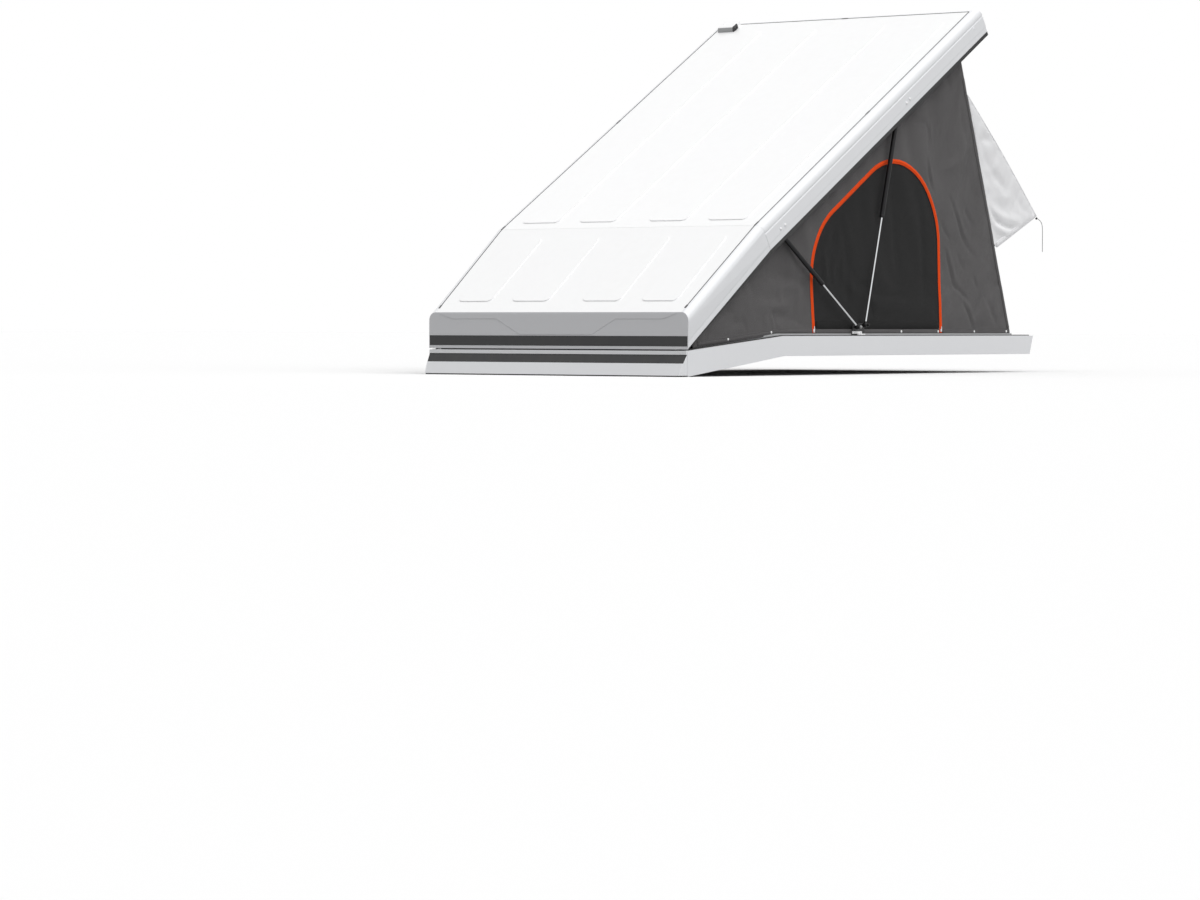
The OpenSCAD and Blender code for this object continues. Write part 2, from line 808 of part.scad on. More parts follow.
module guy_cord() {
    color(dark) placed() tube_along(cord_path, cord_r, 8);
}

module cord_toggle() {
    color(dark) placed() translate([cord_x, hood_reach, hood_corner_z - 9]) rotate([-114, 0, 0])
        translate([0, 0, 1]) cylinder(h = 3, r = 6, $fn = 24);
}

base_side_left();
base_side_right();
base_rear_wall();
front_fascia();
fascia_band();
windscreen_seal();
front_deck();
base_gasket();
canvas_clamp();
strut_foot_left();
strut_foot_right();
hinge_base_leaf();
lid_top_main();
lid_top_front();
side_rail_left();
side_rail_right();
front_cheek_left();
front_cheek_right();
rear_rail();
nose_plate();
nose_band();
lid_seal();
cable_entry();
strut_head_plates();
hinge_lid_leaf();
strut_rod_front_left();
strut_rod_front_right();
strut_rod_rear_left();
strut_rod_rear_right();
strut_tube_front_left();
strut_tube_front_right();
strut_tube_rear_left();
strut_tube_rear_right();
canvas_left();
canvas_right();
canvas_rear();
window_left();
window_right();
window_rear();
window_zips();
rear_hood();
hood_frame();
guy_cord();
cord_toggle();
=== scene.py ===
import math
import random

import bpy
import numpy as np
from mathutils import Matrix, Vector, kdtree, noise
from mathutils.geometry import delaunay_2d_cdt


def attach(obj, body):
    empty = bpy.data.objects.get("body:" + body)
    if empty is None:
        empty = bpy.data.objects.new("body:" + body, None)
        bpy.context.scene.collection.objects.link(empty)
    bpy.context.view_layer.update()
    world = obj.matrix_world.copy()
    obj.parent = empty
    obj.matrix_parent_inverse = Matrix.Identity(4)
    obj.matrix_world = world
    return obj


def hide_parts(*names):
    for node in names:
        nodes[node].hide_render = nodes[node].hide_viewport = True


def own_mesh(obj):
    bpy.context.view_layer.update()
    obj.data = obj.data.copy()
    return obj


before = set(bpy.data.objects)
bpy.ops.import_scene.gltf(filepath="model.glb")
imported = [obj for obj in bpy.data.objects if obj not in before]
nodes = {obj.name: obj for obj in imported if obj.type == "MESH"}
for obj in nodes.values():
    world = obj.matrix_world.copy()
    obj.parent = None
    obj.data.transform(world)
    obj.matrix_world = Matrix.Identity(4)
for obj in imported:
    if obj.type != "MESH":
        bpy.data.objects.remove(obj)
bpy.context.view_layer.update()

scene = bpy.context.scene

# Places are given in mm: across the roof, behind its nose, over the floor. The frame is centred
# along the roof and in metres, so roof() turns one into the other.
midY = 1421.5
hinge = {"y": 10.0, "z": 117.0, "open": math.radians(31.1)}


def roof(x, y, z):
    return Vector((x, y - midY, z)) / 1000


# A place on the closed lid, measured from its hinge pin, carried into the open pose
def onLid(x, y, z):
    c, s = math.cos(hinge["open"]), math.sin(hinge["open"])
    return roof(x, hinge["y"] + y * c - z * s, hinge["z"] + y * s + z * c)


lidUp = (onLid(0, 0, 1) - onLid(0, 0, 0)).normalized()
lidBack = (onLid(0, 1, 0) - onLid(0, 0, 0)).normalized()
outwards = Vector((1, 0, 0))

view = {
    "place": (11.153, -15.4255, 0.2243),
    "azimuth": 37.895,
    "elevation": 1.779,
    "roll": 0.0916,
    "lens": 120.59,
}


def makeCamera():
    az, el, roll = (math.radians(view[k]) for k in ("azimuth", "elevation", "roll"))
    forward = Vector((-math.sin(az) * math.cos(el), math.cos(az) * math.cos(el), -math.sin(el)))
    level = Vector((math.cos(az), math.sin(az), 0))
    upright = level.cross(forward)
    right = math.cos(roll) * level + math.sin(roll) * upright
    up = -math.sin(roll) * level + math.cos(roll) * upright
    data = bpy.data.cameras.new("photoCamera")
    data.sensor_fit = "HORIZONTAL"
    data.sensor_width = 36
    data.lens = view["lens"]
    data.clip_end = 200
    cam = bpy.data.objects.new("photoCamera", data)
    scene.collection.objects.link(cam)
    cam.matrix_world = Matrix((right, up, -forward)).transposed().to_4x4()
    cam.location = Vector(view["place"])
    scene.camera = cam


makeCamera()
print("camera placed")


def addNode(tree, kind, settings=None, values=None):
    node = tree.nodes.new(kind)
    for key, value in (settings or {}).items():
        setattr(node, key, value)
    for key, value in (values or {}).items():
        if isinstance(value, bpy.types.NodeSocket):
            tree.links.new(value, node.inputs[key])
        else:
            node.inputs[key].default_value = value
    return node


def mathNode(tree, operation, a, b=0.0, c=0.0):
    node = addNode(tree, "ShaderNodeMath", {"operation": operation}, {0: a, 1: b, 2: c})
    return node.outputs[0]


def newGroup(name, inputs, outputs):
    tree = bpy.data.node_groups.new(name, "ShaderNodeTree")
    kinds = {"f": "NodeSocketFloat", "c": "NodeSocketColor", "v": "NodeSocketVector"}
    for label, (kind, value) in inputs.items():
        socket = tree.interface.new_socket(name=label, in_out="INPUT", socket_type=kinds[kind])
        socket.default_value = value
    for label, kind in outputs.items():
        tree.interface.new_socket(name=label, in_out="OUTPUT", socket_type=kinds[kind])
    return tree, addNode(tree, "NodeGroupInput").outputs, addNode(tree, "NodeGroupOutput").inputs


# Cloudy tone, dust that settles on what faces up, and faint streaks, for every finish
def makeAgeing():
    tree, given, out = newGroup("ageing", {
        "Color": ("c", (0.8, 0.8, 0.8, 1)), "Dust Color": ("c", (0.42, 0.39, 0.34, 1)),
        "Dust": ("f", 0.1), "Cloud": ("f", 0.04), "Roughness": ("f", 0.4)},
        {"Color": "c", "Roughness": "f"})
    place = addNode(tree, "ShaderNodeTexCoord").outputs["Object"]
    clouds = addNode(tree, "ShaderNodeTexNoise", None,
                     {"Vector": place, "Scale": 2.3, "Detail": 5.0, "Roughness": 0.6}).outputs["Fac"]
    drawn = addNode(tree, "ShaderNodeVectorMath", {"operation": "MULTIPLY"},
                    {0: place, 1: (26.0, 26.0, 1.8)}).outputs[0]
    streaks = addNode(tree, "ShaderNodeTexNoise", None,
                      {"Vector": drawn, "Scale": 1.0, "Detail": 3.0}).outputs["Fac"]
    facing = addNode(tree, "ShaderNodeSeparateXYZ", None,
                     {0: addNode(tree, "ShaderNodeNewGeometry").outputs["Normal"]}).outputs["Z"]
    settled = addNode(tree, "ShaderNodeMapRange", None,
                      {"Value": facing, "From Min": -0.2, "From Max": 1.0, "To Min": 0.25}).outputs[0]
    patches = addNode(tree, "ShaderNodeMapRange", None,
                      {"Value": mathNode(tree, "MULTIPLY", clouds, streaks),
                       "From Min": 0.16, "From Max": 0.42}).outputs[0]
    mask = mathNode(tree, "MULTIPLY", mathNode(tree, "MULTIPLY", patches, settled), given["Dust"])
    swing = mathNode(tree, "MULTIPLY_ADD", mathNode(tree, "SUBTRACT", clouds, 0.5),
                     given["Cloud"], 1.0)
    toned = addNode(tree, "ShaderNodeVectorMath", {"operation": "SCALE"},
                    {0: given["Color"], "Scale": swing}).outputs[0]
    mixed = addNode(tree, "ShaderNodeMix", {"data_type": "RGBA"},
                    {"Factor": mask, 6: toned, 7: given["Dust Color"]}).outputs[2]
    tree.links.new(mixed, out["Color"])
    rough = mathNode(tree, "MULTIPLY_ADD", mathNode(tree, "SUBTRACT", streaks, 0.5), 0.12,
                     mathNode(tree, "ADD", given["Roughness"], mathNode(tree, "MULTIPLY", mask, 0.4)))
    tree.links.new(rough, out["Roughness"])
    return tree


# Fine relief: the orange peel of powder coat, moulded grain or drawn metal, by its stretch
def makeGrain():
    tree, given, out = newGroup("grain", {
        "Scale": ("f", 300.0), "Stretch": ("v", (1, 1, 1)), "Detail": ("f", 2.0)},
        {"Height": "f", "Mask": "f"})
    place = addNode(tree, "ShaderNodeTexCoord").outputs["Object"]
    drawn = addNode(tree, "ShaderNodeVectorMath", {"operation": "MULTIPLY"},
                    {0: place, 1: given["Stretch"]}).outputs[0]
    fine = addNode(tree, "ShaderNodeTexNoise", None,
                   {"Vector": drawn, "Scale": given["Scale"], "Detail": given["Detail"]})
    tree.links.new(fine.outputs["Fac"], out["Height"])
    mask = addNode(tree, "ShaderNodeMapRange", None,
                   {"Value": fine.outputs["Fac"], "From Min": 0.4, "From Max": 0.6}).outputs[0]
    tree.links.new(mask, out["Mask"])
    return tree


# Plain weave: threads along and across, in the plane that the cloth faces
def makeWeave():
    tree, given, out = newGroup("weave", {
        "Color": ("c", (0.1, 0.1, 0.1, 1)), "Pitch": ("f", 0.0011), "Contrast": ("f", 0.25),
        "Mottle": ("f", 0.1)}, {"Color": "c", "Height": "f", "Mask": "f"})
    place = addNode(tree, "ShaderNodeSeparateXYZ", None,
                    {0: addNode(tree, "ShaderNodeTexCoord").outputs["Object"]}).outputs
    normal = addNode(tree, "ShaderNodeSeparateXYZ", None,
                     {0: addNode(tree, "ShaderNodeNewGeometry").outputs["Normal"]}).outputs
    sideways = mathNode(tree, "GREATER_THAN", mathNode(tree, "ABSOLUTE", normal["X"]), 0.7)
    along = addNode(tree, "ShaderNodeMix", None,
                    {"Factor": sideways, 2: place["X"], 3: place["Y"]}).outputs[0]
    turn = mathNode(tree, "DIVIDE", math.pi, given["Pitch"])
    warp = mathNode(tree, "SINE", mathNode(tree, "MULTIPLY", along, turn))
    weft = mathNode(tree, "SINE", mathNode(tree, "MULTIPLY", place["Z"], turn))
    over = mathNode(tree, "MULTIPLY_ADD", mathNode(tree, "MULTIPLY", warp, weft), 0.5, 0.5)
    high = mathNode(tree, "MAXIMUM",
                    mathNode(tree, "MULTIPLY", mathNode(tree, "ABSOLUTE", warp), over),
                    mathNode(tree, "MULTIPLY", mathNode(tree, "ABSOLUTE", weft),
                             mathNode(tree, "SUBTRACT", 1.0, over)))
    spot = addNode(tree, "ShaderNodeTexCoord").outputs["Object"]
    mottle = addNode(tree, "ShaderNodeTexNoise", None,
                     {"Vector": spot, "Scale": 9.0, "Detail": 6.0, "Roughness": 0.65}).outputs["Fac"]
    tone = mathNode(tree, "ADD",
                    mathNode(tree, "MULTIPLY_ADD", mathNode(tree, "SUBTRACT", high, 0.5),
                             given["Contrast"], 1.0),
                    mathNode(tree, "MULTIPLY", mathNode(tree, "SUBTRACT", mottle, 0.5),
                             given["Mottle"]))
    shade = addNode(tree, "ShaderNodeVectorMath", {"operation": "SCALE"},
                    {0: given["Color"], "Scale": tone}).outputs[0]
    tree.links.new(shade, out["Color"])
    tree.links.new(high, out["Height"])
    hole = addNode(tree, "ShaderNodeMapRange", None,
                   {"Value": high, "From Min": 0.1, "From Max": 0.3}).outputs[0]
    tree.links.new(hole, out["Mask"])
    return tree


ageing, grain, weave = makeAgeing(), makeGrain(), makeWeave()

finishes = {
    "lidWhite": {"color": (0.93, 0.932, 0.936), "rough": 0.36, "dust": 0.03, "cloud": 0.015,
                 "grain": 420, "relief": 0.0002, "coat": 0.25},
    "shellPaint": {"color": (0.84, 0.85, 0.87), "rough": 0.34, "dust": 0.03, "cloud": 0.02,
                   "grain": 420, "relief": 0.0002, "coat": 0.2},
    # The nose plate's paint is white like the rest; this grey is painted shade, darker because its
    # face looks forward, away from the overhead light
    "nosePaintedShade": {"color": (0.66, 0.665, 0.685), "rough": 0.4, "dust": 0.03, "cloud": 0.02,
                 "grain": 420, "relief": 0.0002, "coat": 0.15},
    # Dark strips over the lid's seams: painted shade standing in for the shadow in the narrow gaps
    # between skin and rail
    "seamPaintedShade": {"color": (0.07, 0.07, 0.072), "rough": 0.6, "dust": 0.05, "cloud": 0.2,
                 "grain": 600, "relief": 0.0002},
    "studWhite": {"color": (0.97, 0.97, 0.97), "rough": 0.25, "cloud": 0.02, "grain": 600,
                  "relief": 0.0001, "coat": 0.3},
    "bandBlack": {"color": (0.016, 0.0165, 0.018), "rough": 0.5, "dust": 0.05, "cloud": 0.1,
                  "grain": 700, "relief": 0.0002},
    "blackRubber": {"color": (0.018, 0.018, 0.019), "rough": 0.72, "dust": 0.1, "cloud": 0.3,
                    "grain": 500, "relief": 0.0004},
    "clampGrey": {"color": (0.41, 0.415, 0.42), "rough": 0.5, "dust": 0.05, "cloud": 0.1,
                  "grain": 900, "stretch": (1, 0.02, 1), "relief": 0.0001, "shine": 0.3},
    "millAluminium": {"color": (0.60, 0.61, 0.62), "rough": 0.38, "metal": 1.0, "cloud": 0.08,
                      "grain": 900, "stretch": (1, 0.02, 1), "relief": 0.0001},
    "zincSteel": {"color": (0.62, 0.63, 0.65), "rough": 0.32, "metal": 1.0, "cloud": 0.15,
                  "grain": 120, "relief": 0.0001},
    "chromeRod": {"color": (0.52, 0.53, 0.54), "rough": 0.16, "metal": 1.0, "cloud": 0.02,
                  "grain": 900, "stretch": (1, 1, 0.03), "relief": 0.00003},
    "tubeBlack": {"color": (0.008, 0.008, 0.009), "rough": 0.38, "dust": 0.02, "cloud": 0.1,
                  "grain": 500, "relief": 0.0001, "shine": 0.2},
    "mouldedBlack": {"color": (0.03, 0.03, 0.032), "rough": 0.55, "dust": 0.06, "cloud": 0.15,
                     "grain": 650, "relief": 0.0004},
    "zipOrange": {"color": (0.90, 0.085, 0.010), "rough": 0.7, "cloud": 0.15, "grain": 900,
                  "relief": 0.0003, "shine": 0.15},
}


def solidFinish(name):
    f = finishes[name]
    material = bpy.data.materials.new(name)
    material.use_nodes = True
    tree = material.node_tree
    shader = tree.nodes["Principled BSDF"]
    aged = addNode(tree, "ShaderNodeGroup", {"node_tree": ageing}, {
        "Color": (*f["color"], 1), "Dust": f.get("dust", 0.0), "Cloud": f["cloud"],
        "Roughness": f["rough"]})
    tree.links.new(aged.outputs["Color"], shader.inputs["Base Color"])
    tree.links.new(aged.outputs["Roughness"], shader.inputs["Roughness"])
    fine = addNode(tree, "ShaderNodeGroup", {"node_tree": grain},
                   {"Scale": f["grain"], "Stretch": f.get("stretch", (1, 1, 1))})
    bump = addNode(tree, "ShaderNodeBump", None,
                   {"Height": fine.outputs["Height"], "Distance": f["relief"], "Strength": 0.6})
    tree.links.new(bump.outputs["Normal"], shader.inputs["Normal"])
    shader.inputs["Metallic"].default_value = f.get("metal", 0.0)
    shader.inputs["Specular IOR Level"].default_value = f.get("shine", 0.5)
    shader.inputs["Coat Weight"].default_value = f.get("coat", 0.0)
    shader.inputs["Coat Roughness"].default_value = 0.18
    return material


cloths = {
    # The canvas's strong mottle is partly painted shade: large soft blotches that stand in for the
    # shading of its gentle folds
    "tentCanvas": {"color": (0.112, 0.108, 0.109), "pitch": 0.0012, "contrast": 0.3,
                   "mottle": 0.34, "rough": 0.86, "sheen": 0.08, "relief": 0.0004},
    "insectMesh": {"color": (0.017, 0.017, 0.0172), "pitch": 0.0016, "contrast": 0.4,
                   "mottle": 0.2, "rough": 0.9, "sheen": 0.03, "relief": 0.0004, "open": 0.12},
    "windowHem": {"color": (0.011, 0.011, 0.011), "pitch": 0.0012, "contrast": 0.3,
                  "mottle": 0.2, "rough": 0.9, "sheen": 0.02, "relief": 0.0003},
    "hoodCloth": {"color": (0.94, 0.942, 0.955), "pitch": 0.0009, "contrast": 0.06,
                  "mottle": 0.05, "rough": 0.62, "sheen": 0.2, "relief": 0.0002},
    "cordBraid": {"color": (0.30, 0.30, 0.31), "pitch": 0.0008, "contrast": 0.5,
                  "mottle": 0.2, "rough": 0.8, "sheen": 0.2, "relief": 0.0004},
    "seamThread": {"color": (0.05, 0.05, 0.05), "pitch": 0.0004, "contrast": 0.3,
                   "mottle": 0.1, "rough": 0.8, "sheen": 0.1, "relief": 0.0001},
    "hoodThread": {"color": (0.62, 0.62, 0.63), "pitch": 0.0004, "contrast": 0.3,
                   "mottle": 0.1, "rough": 0.8, "sheen": 0.1, "relief": 0.0001},
    "zipTape": {"color": (0.94, 0.090, 0.011), "pitch": 0.001, "contrast": 0.2,
                "mottle": 0.1, "rough": 0.8, "sheen": 0.0, "relief": 0.0003},
}


def clothFinish(name):
    c = cloths[name]
    material = bpy.data.materials.new(name)
    material.use_nodes = True
    tree = material.node_tree
    shader = tree.nodes["Principled BSDF"]
    threads = addNode(tree, "ShaderNodeGroup", {"node_tree": weave}, {
        "Color": (*c["color"], 1), "Pitch": c["pitch"], "Contrast": c["contrast"],
        "Mottle": c["mottle"]})
    tree.links.new(threads.outputs["Color"], shader.inputs["Base Color"])
    bump = addNode(tree, "ShaderNodeBump", None,
                   {"Height": threads.outputs["Height"], "Distance": c["relief"]})
    tree.links.new(bump.outputs["Normal"], shader.inputs["Normal"])
    shader.inputs["Roughness"].default_value = c["rough"]
    shader.inputs["Sheen Weight"].default_value = c["sheen"]
    shader.inputs["Sheen Roughness"].default_value = 0.5
    shader.inputs["Specular IOR Level"].default_value = 0.2
    if "open" in c:
        seen = mathNode(tree, "MULTIPLY_ADD", threads.outputs["Mask"], c["open"], 1 - c["open"])
        tree.links.new(seen, shader.inputs["Alpha"])
    return material


# The strut feet are black plates with white lugs, told apart by how far out and low they lie
def footFinish():
    material = solidFinish("mouldedBlack")
    material.name = "footPlate"
    tree = material.node_tree
    shader = tree.nodes["Principled BSDF"]
    place = addNode(tree, "ShaderNodeSeparateXYZ", None,
                    {0: addNode(tree, "ShaderNodeTexCoord").outputs["Object"]}).outputs
    out = mathNode(tree, "GREATER_THAN", mathNode(tree, "ABSOLUTE", place["X"]), 0.7242)
    lug = mathNode(tree, "MULTIPLY", out, mathNode(tree, "LESS_THAN", place["Z"], 0.199))
    dark = shader.inputs["Base Color"].links[0].from_socket
    mixed = addNode(tree, "ShaderNodeMix", {"data_type": "RGBA"},
                    {"Factor": lug, 6: dark, 7: (0.97, 0.97, 0.97, 1)}).outputs[2]
    tree.links.new(mixed, shader.inputs["Base Color"])
    return material


paint = {name: solidFinish(name) for name in finishes}
paint["footPlate"] = footFinish()
fabric = {name: clothFinish(name) for name in cloths}
print("materials made")


# Parts are (points, faces) pairs, and a piece is one mesh made of several
def addPiece(name, parts, material, body, smooth=True):
    points, faces = [], []
    for partPoints, partFaces in parts:
        start = len(points)
        points += [tuple(p) for p in partPoints]
        faces += [[i + start for i in face] for face in partFaces]
    mesh = bpy.data.meshes.new(name)
    mesh.from_pydata(points, [], faces)
    mesh.polygons.foreach_set("use_smooth", [smooth] * len(mesh.polygons))
    mesh.update()
    mesh.materials.append(material)
    piece = bpy.data.objects.new(name, mesh)
    scene.collection.objects.link(piece)
    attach(piece, body)
    return piece


def roundProfile(radius, sides=12):
    turn = 2 * math.pi / sides
    return [(radius * math.cos(i * turn), radius * math.sin(i * turn)) for i in range(sides)]


def flatProfile(width, height):
    w, h, c = width / 2, height, min(width, height) * 0.3
    return [(-w, 0), (w, 0), (w, h - c), (w - c, h), (c - w, h), (-w, h - c)]


# Carries a profile along a path. Its first number points to the path's side, its second along up.
def sweep(path, profile, up, swell=None, closed=False):
    count, sides = len(path), len(profile)
    points = []
    for i, p in enumerate(path):
        ahead = path[(i + 1) % count] if closed or i + 1 < count else path[i]
        behind = path[i - 1] if closed or i > 0 else path[i]
        heading = (ahead - behind).normalized()
        side = heading.cross(up).normalized()
        over = side.cross(heading)
        k = swell(i) if swell else 1.0
        points += [p + side * (a * k) + over * (b * k) for a, b in profile]
    faces = []
    for i in range(count if closed else count - 1):
        for j in range(sides):
            a, b = i * sides + j, i * sides + (j + 1) % sides
            c, d = (i + 1) % count * sides + (j + 1) % sides, (i + 1) % count * sides + j
            faces.append([a, d, c, b])
    if not closed:
        faces.append(list(range(sides)))
        faces.append([(count - 1) * sides + j for j in reversed(range(sides))])
    return points, faces


# Turns an outline of (radius, height) pairs round an axis; it ends on the axis
def revolve(outline, centre, axis, sides=16):
    axis = axis.normalized()
    side = axis.orthogonal().normalized()
    other = axis.cross(side)
    points, faces = [], []
    for r, h in outline:
        for i in range(sides):
            a = 2 * math.pi * i / sides
            points.append(centre + axis * h + (side * math.cos(a) + other * math.sin(a)) * r)
    for k in range(len(outline) - 1):
        for i in range(sides):
            j = (i + 1) % sides
            faces.append([k * sides + i, k * sides + j, (k + 1) * sides + j, (k + 1) * sides + i])
    faces.append([(len(outline) - 1) * sides + i for i in range(sides)])
    faces.append([i for i in reversed(range(sides))])
    return points, faces


def domeHead(centre, axis, radius, height, sides=20):
    steps = [(math.cos(a) * radius, math.sin(a) * height)
             for a in (math.radians(k) for k in (0, 18, 36, 54, 70, 82))]
    return revolve([(radius * 1.04, -0.0008), *steps], centre, axis, sides)


def hexHead(centre, axis, radius, height):
    return revolve([(radius, -0.0008), (radius, height * 0.8), (radius * 0.86, height)],
                   centre, axis, 6)


def washer(centre, axis, radius, height=0.0015):
    return revolve([(radius, -0.0008), (radius, height * 0.7), (radius * 0.93, height)],
                   centre, axis, 24)


def smoothPath(points, cuts):
    path = []
    for i in range(len(points) - 1):
        p0, p1 = points[max(i - 1, 0)], points[i]
        p2, p3 = points[i + 1], points[min(i + 2, len(points) - 1)]
        for k in range(cuts):
            t = k / cuts
            path.append(0.5 * (2 * p1 + (p2 - p0) * t + (2 * p0 - 5 * p1 + 4 * p2 - p3) * t * t
                               + (3 * p1 - p0 - 3 * p2 + p3) * t ** 3))
    return path + [points[-1]]


def foldAway(piece):
    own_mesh(piece)


cord = {"radius": 0.0015, "x": 712.0, "toggle": 0.006}
cordRoute = [(0, 2897, 751), (1, 2905, 748), (2, 2913, 745), (3, 2920, 741), (4, 2927, 736),
             (4, 2933, 730), (4, 2938, 723), (4, 2941, 714), (4, 2943, 704), (4, 2944, 693),
             (4, 2944, 681), (4, 2944, 668), (4, 2944, 655), (4, 2944, 641), (4, 2944, 627),
             (4, 2944, 613), (4, 2944, 600), (4, 2944, 588)]


def makeCord():
    path = smoothPath([roof(cord["x"] + a, b, c) for a, b, c in cordRoute], 3)
    line = addPiece("hoodCord", [sweep(path, roundProfile(cord["radius"], 10), outwards)],
                    fabric["cordBraid"], "base")
    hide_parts("guy_cord")
    slope = Vector((0, 0.914, -0.407))
    centre = roof(cord["x"], 2891, 752) + slope * 0.001
    r = cord["toggle"]
    knob = revolve([(r * 0.8, 0.0), (r, 0.0008), (r, 0.0028), (r * 0.75, 0.0036)],
                   centre, slope, 20)
    toggle = addPiece("cordToggle", [knob], paint["mouldedBlack"], "base")
    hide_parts("cord_toggle")
    foldAway(line)
    foldAway(toggle)


makeCord()
print("cord hung")

# Which finish each solid of the frame wears, and how far its edges are rounded (mm)
dressing = [
    ("shellPaint", 1.2, ["base_side_left", "base_side_right", "base_rear_wall", "front_fascia",
                         "front_deck", "side_rail_left", "side_rail_right", "front_cheek_left",
                         "front_cheek_right", "rear_rail"]),
    # The nose plate wears a darker grey that is painted shade on its white paint
    ("nosePaintedShade", 1.2, ["nose_plate"]),
    ("lidWhite", 0.5, ["lid_top_main", "lid_top_front"]),
    ("lidWhite", 0.0, ["cable_entry"]),
    ("bandBlack", 0.0, ["fascia_band", "nose_band", "hinge_base_leaf", "hinge_lid_leaf"]),
    ("blackRubber", 0.0, ["windscreen_seal", "base_gasket", "lid_seal"]),
    ("clampGrey", 0.0, ["canvas_clamp"]),
    ("footPlate", 0.0, ["strut_foot_left", "strut_foot_right"]),
    ("zincSteel", 0.0, ["strut_head_plates"]),
    ("chromeRod", 0.0, [f"strut_rod_{e}_{s}" for e in ("front", "rear") for s in ("left", "right")]),
    ("tubeBlack", 0.0, [f"strut_tube_{e}_{s}" for e in ("front", "rear") for s in ("left", "right")]),
]


def dressFrame():
    for finish, rounding, names in dressing:
        for name in names:
            node = nodes[name]
            node.data.materials.clear()
            node.data.materials.append(paint[finish])
            if rounding:
                weld = node.modifiers.new("weld", "WELD")
                weld.merge_threshold = 0.00002
                bevel = node.modifiers.new("softEdges", "BEVEL")
                bevel.width = rounding / 1000
                bevel.segments = 2
                bevel.limit_method = "ANGLE"
                bevel.angle_limit = math.radians(35)
                bevel.harden_normals = True


dressFrame()
print("frame dressed")


# Outlines [y, z, r] in the plane of a panel, each corner rounded by its radius r
def roundCorners(corners, steps=12):
    outline = []
    for i, (y, z, r) in enumerate(corners):
        here = Vector((y, z))
        if r == 0:
            outline.append(here)
            continue
        back = (Vector(corners[i - 1][:2]) - here).normalized()
        ahead = (Vector(corners[(i + 1) % len(corners)][:2]) - here).normalized()
        half = back.angle(ahead) / 2
        centre = here + (back + ahead).normalized() * (r / math.sin(half))
        first = here + back * (r / math.tan(half)) - centre
        last = here + ahead * (r / math.tan(half)) - centre
        turn = first.angle_signed(last)
        for k in range(steps + 1):
            a = -turn * k / steps
            outline.append(centre + Vector((first.x * math.cos(a) - first.y * math.sin(a),
                                            first.x * math.sin(a) + first.y * math.cos(a))))
    return outline


def evenly(outline, step, closed=True):
    points = []
    count = len(outline) if closed else len(outline) - 1
    for i in range(count):
        a, b = outline[i], outline[(i + 1) % len(outline)]
        cuts = max(1, round((b - a).length / step))
        points += [a.lerp(b, k / cuts) for k in range(cuts)]
    return points if closed else points + [outline[-1]]


def isInside(points, outline):
    y, z = points[:, 0], points[:, 1]
    found = np.zeros(len(points), bool)
    for i, a in enumerate(outline):
        b = outline[i - 1]
        crosses = (a[1] > z) != (b[1] > z)
        with np.errstate(divide="ignore", invalid="ignore"):
            at = (b[0] - a[0]) * (z - a[1]) / (b[1] - a[1]) + a[0]
        found ^= crosses & (y < at)
    return found


# Triangles of an even size over a panel, with edges along its outline and its inner lines
def netOver(outline, innerLines, step, seed):
    chance = random.Random(seed)
    points, edges = [], []
    for loop in [outline, *innerLines]:
        loop = evenly(loop, step)
        start = len(points)
        points += loop
        edges += [(start + i, start + (i + 1) % len(loop)) for i in range(len(loop))]
    tree = kdtree.KDTree(len(points))
    for i, p in enumerate(points):
        tree.insert((p.x, p.y, 0), i)
    tree.balance()
    lowY, highY = min(p.x for p in outline), max(p.x for p in outline)
    lowZ, highZ = min(p.y for p in outline), max(p.y for p in outline)
    rows = []
    for r in range(int((highZ - lowZ) / (step * 0.866)) + 1):
        for c in range(int((highY - lowY) / step) + 2):
            rows.append((lowY + (c + r % 2 / 2) * step + chance.uniform(-0.08, 0.08) * step,
                         lowZ + r * step * 0.866 + chance.uniform(-0.08, 0.08) * step))
    rows = np.array(rows)
    for p in rows[isInside(rows, outline)]:
        if tree.find((p[0], p[1], 0))[2] > step * 0.6:
            points.append(Vector(p))
    found = delaunay_2d_cdt(points, edges, [], 0, 0.001)
    flat = np.array([(p.x, p.y) for p in found[0]])
    faces = [list(f) for f in found[2]]
    keep = isInside(np.array([flat[f].mean(axis=0) for f in faces]), outline)
    return flat, [f for f, k in zip(faces, keep) if k]


# Boundary points of a net, which are sewn or clamped to something
def rimOf(faces):
    uses = {}
    for face in faces:
        for i, a in enumerate(face):
            key = tuple(sorted((a, face[i - 1])))
            uses[key] = uses.get(key, 0) + 1
    return sorted({i for key, n in uses.items() if n == 1 for i in key})


# Lets a panel that is cut a little too large settle between its seams, as cloth does
def settle(flatPoints, startPoints, faces, pinned, amount, limit, gravity, frames=22):
    mesh = bpy.data.meshes.new("settling")
    mesh.from_pydata([tuple(p) for p in flatPoints], [], faces)
    piece = bpy.data.objects.new("settling", mesh)
    scene.collection.objects.link(piece)
    held = piece.vertex_groups.new(name="held")
    held.add(pinned, 1.0, "REPLACE")
    mesh.vertices.foreach_set("co", startPoints.astype(np.float32).ravel())
    cloth = piece.modifiers.new("settle", "CLOTH")
    cloth.settings.quality = 5
    cloth.settings.mass = 0.35
    cloth.settings.tension_stiffness = 30
    cloth.settings.compression_stiffness = 30
    cloth.settings.shear_stiffness = 12
    cloth.settings.bending_stiffness = 0.6
    cloth.settings.air_damping = 3
    cloth.settings.vertex_group_mass = "held"
    cloth.settings.shrink_min = -amount
    cloth.settings.effector_weights.gravity = gravity
    cloth.point_cache.frame_start = 1
    cloth.point_cache.frame_end = frames
    for number in range(1, frames + 1):
        scene.frame_set(number)
    shown = piece.evaluated_get(bpy.context.evaluated_depsgraph_get()).to_mesh()
    settled = np.zeros(len(shown.vertices) * 3, np.float32)
    shown.vertices.foreach_get("co", settled)
    bpy.data.objects.remove(piece)
    scene.frame_set(1)
    moved = settled.reshape(-1, 3).astype(float) - flatPoints
    far = np.linalg.norm(moved, axis=1, keepdims=True)
    return flatPoints + moved * (limit * np.tanh(far / limit) / np.maximum(far, 1e-9))


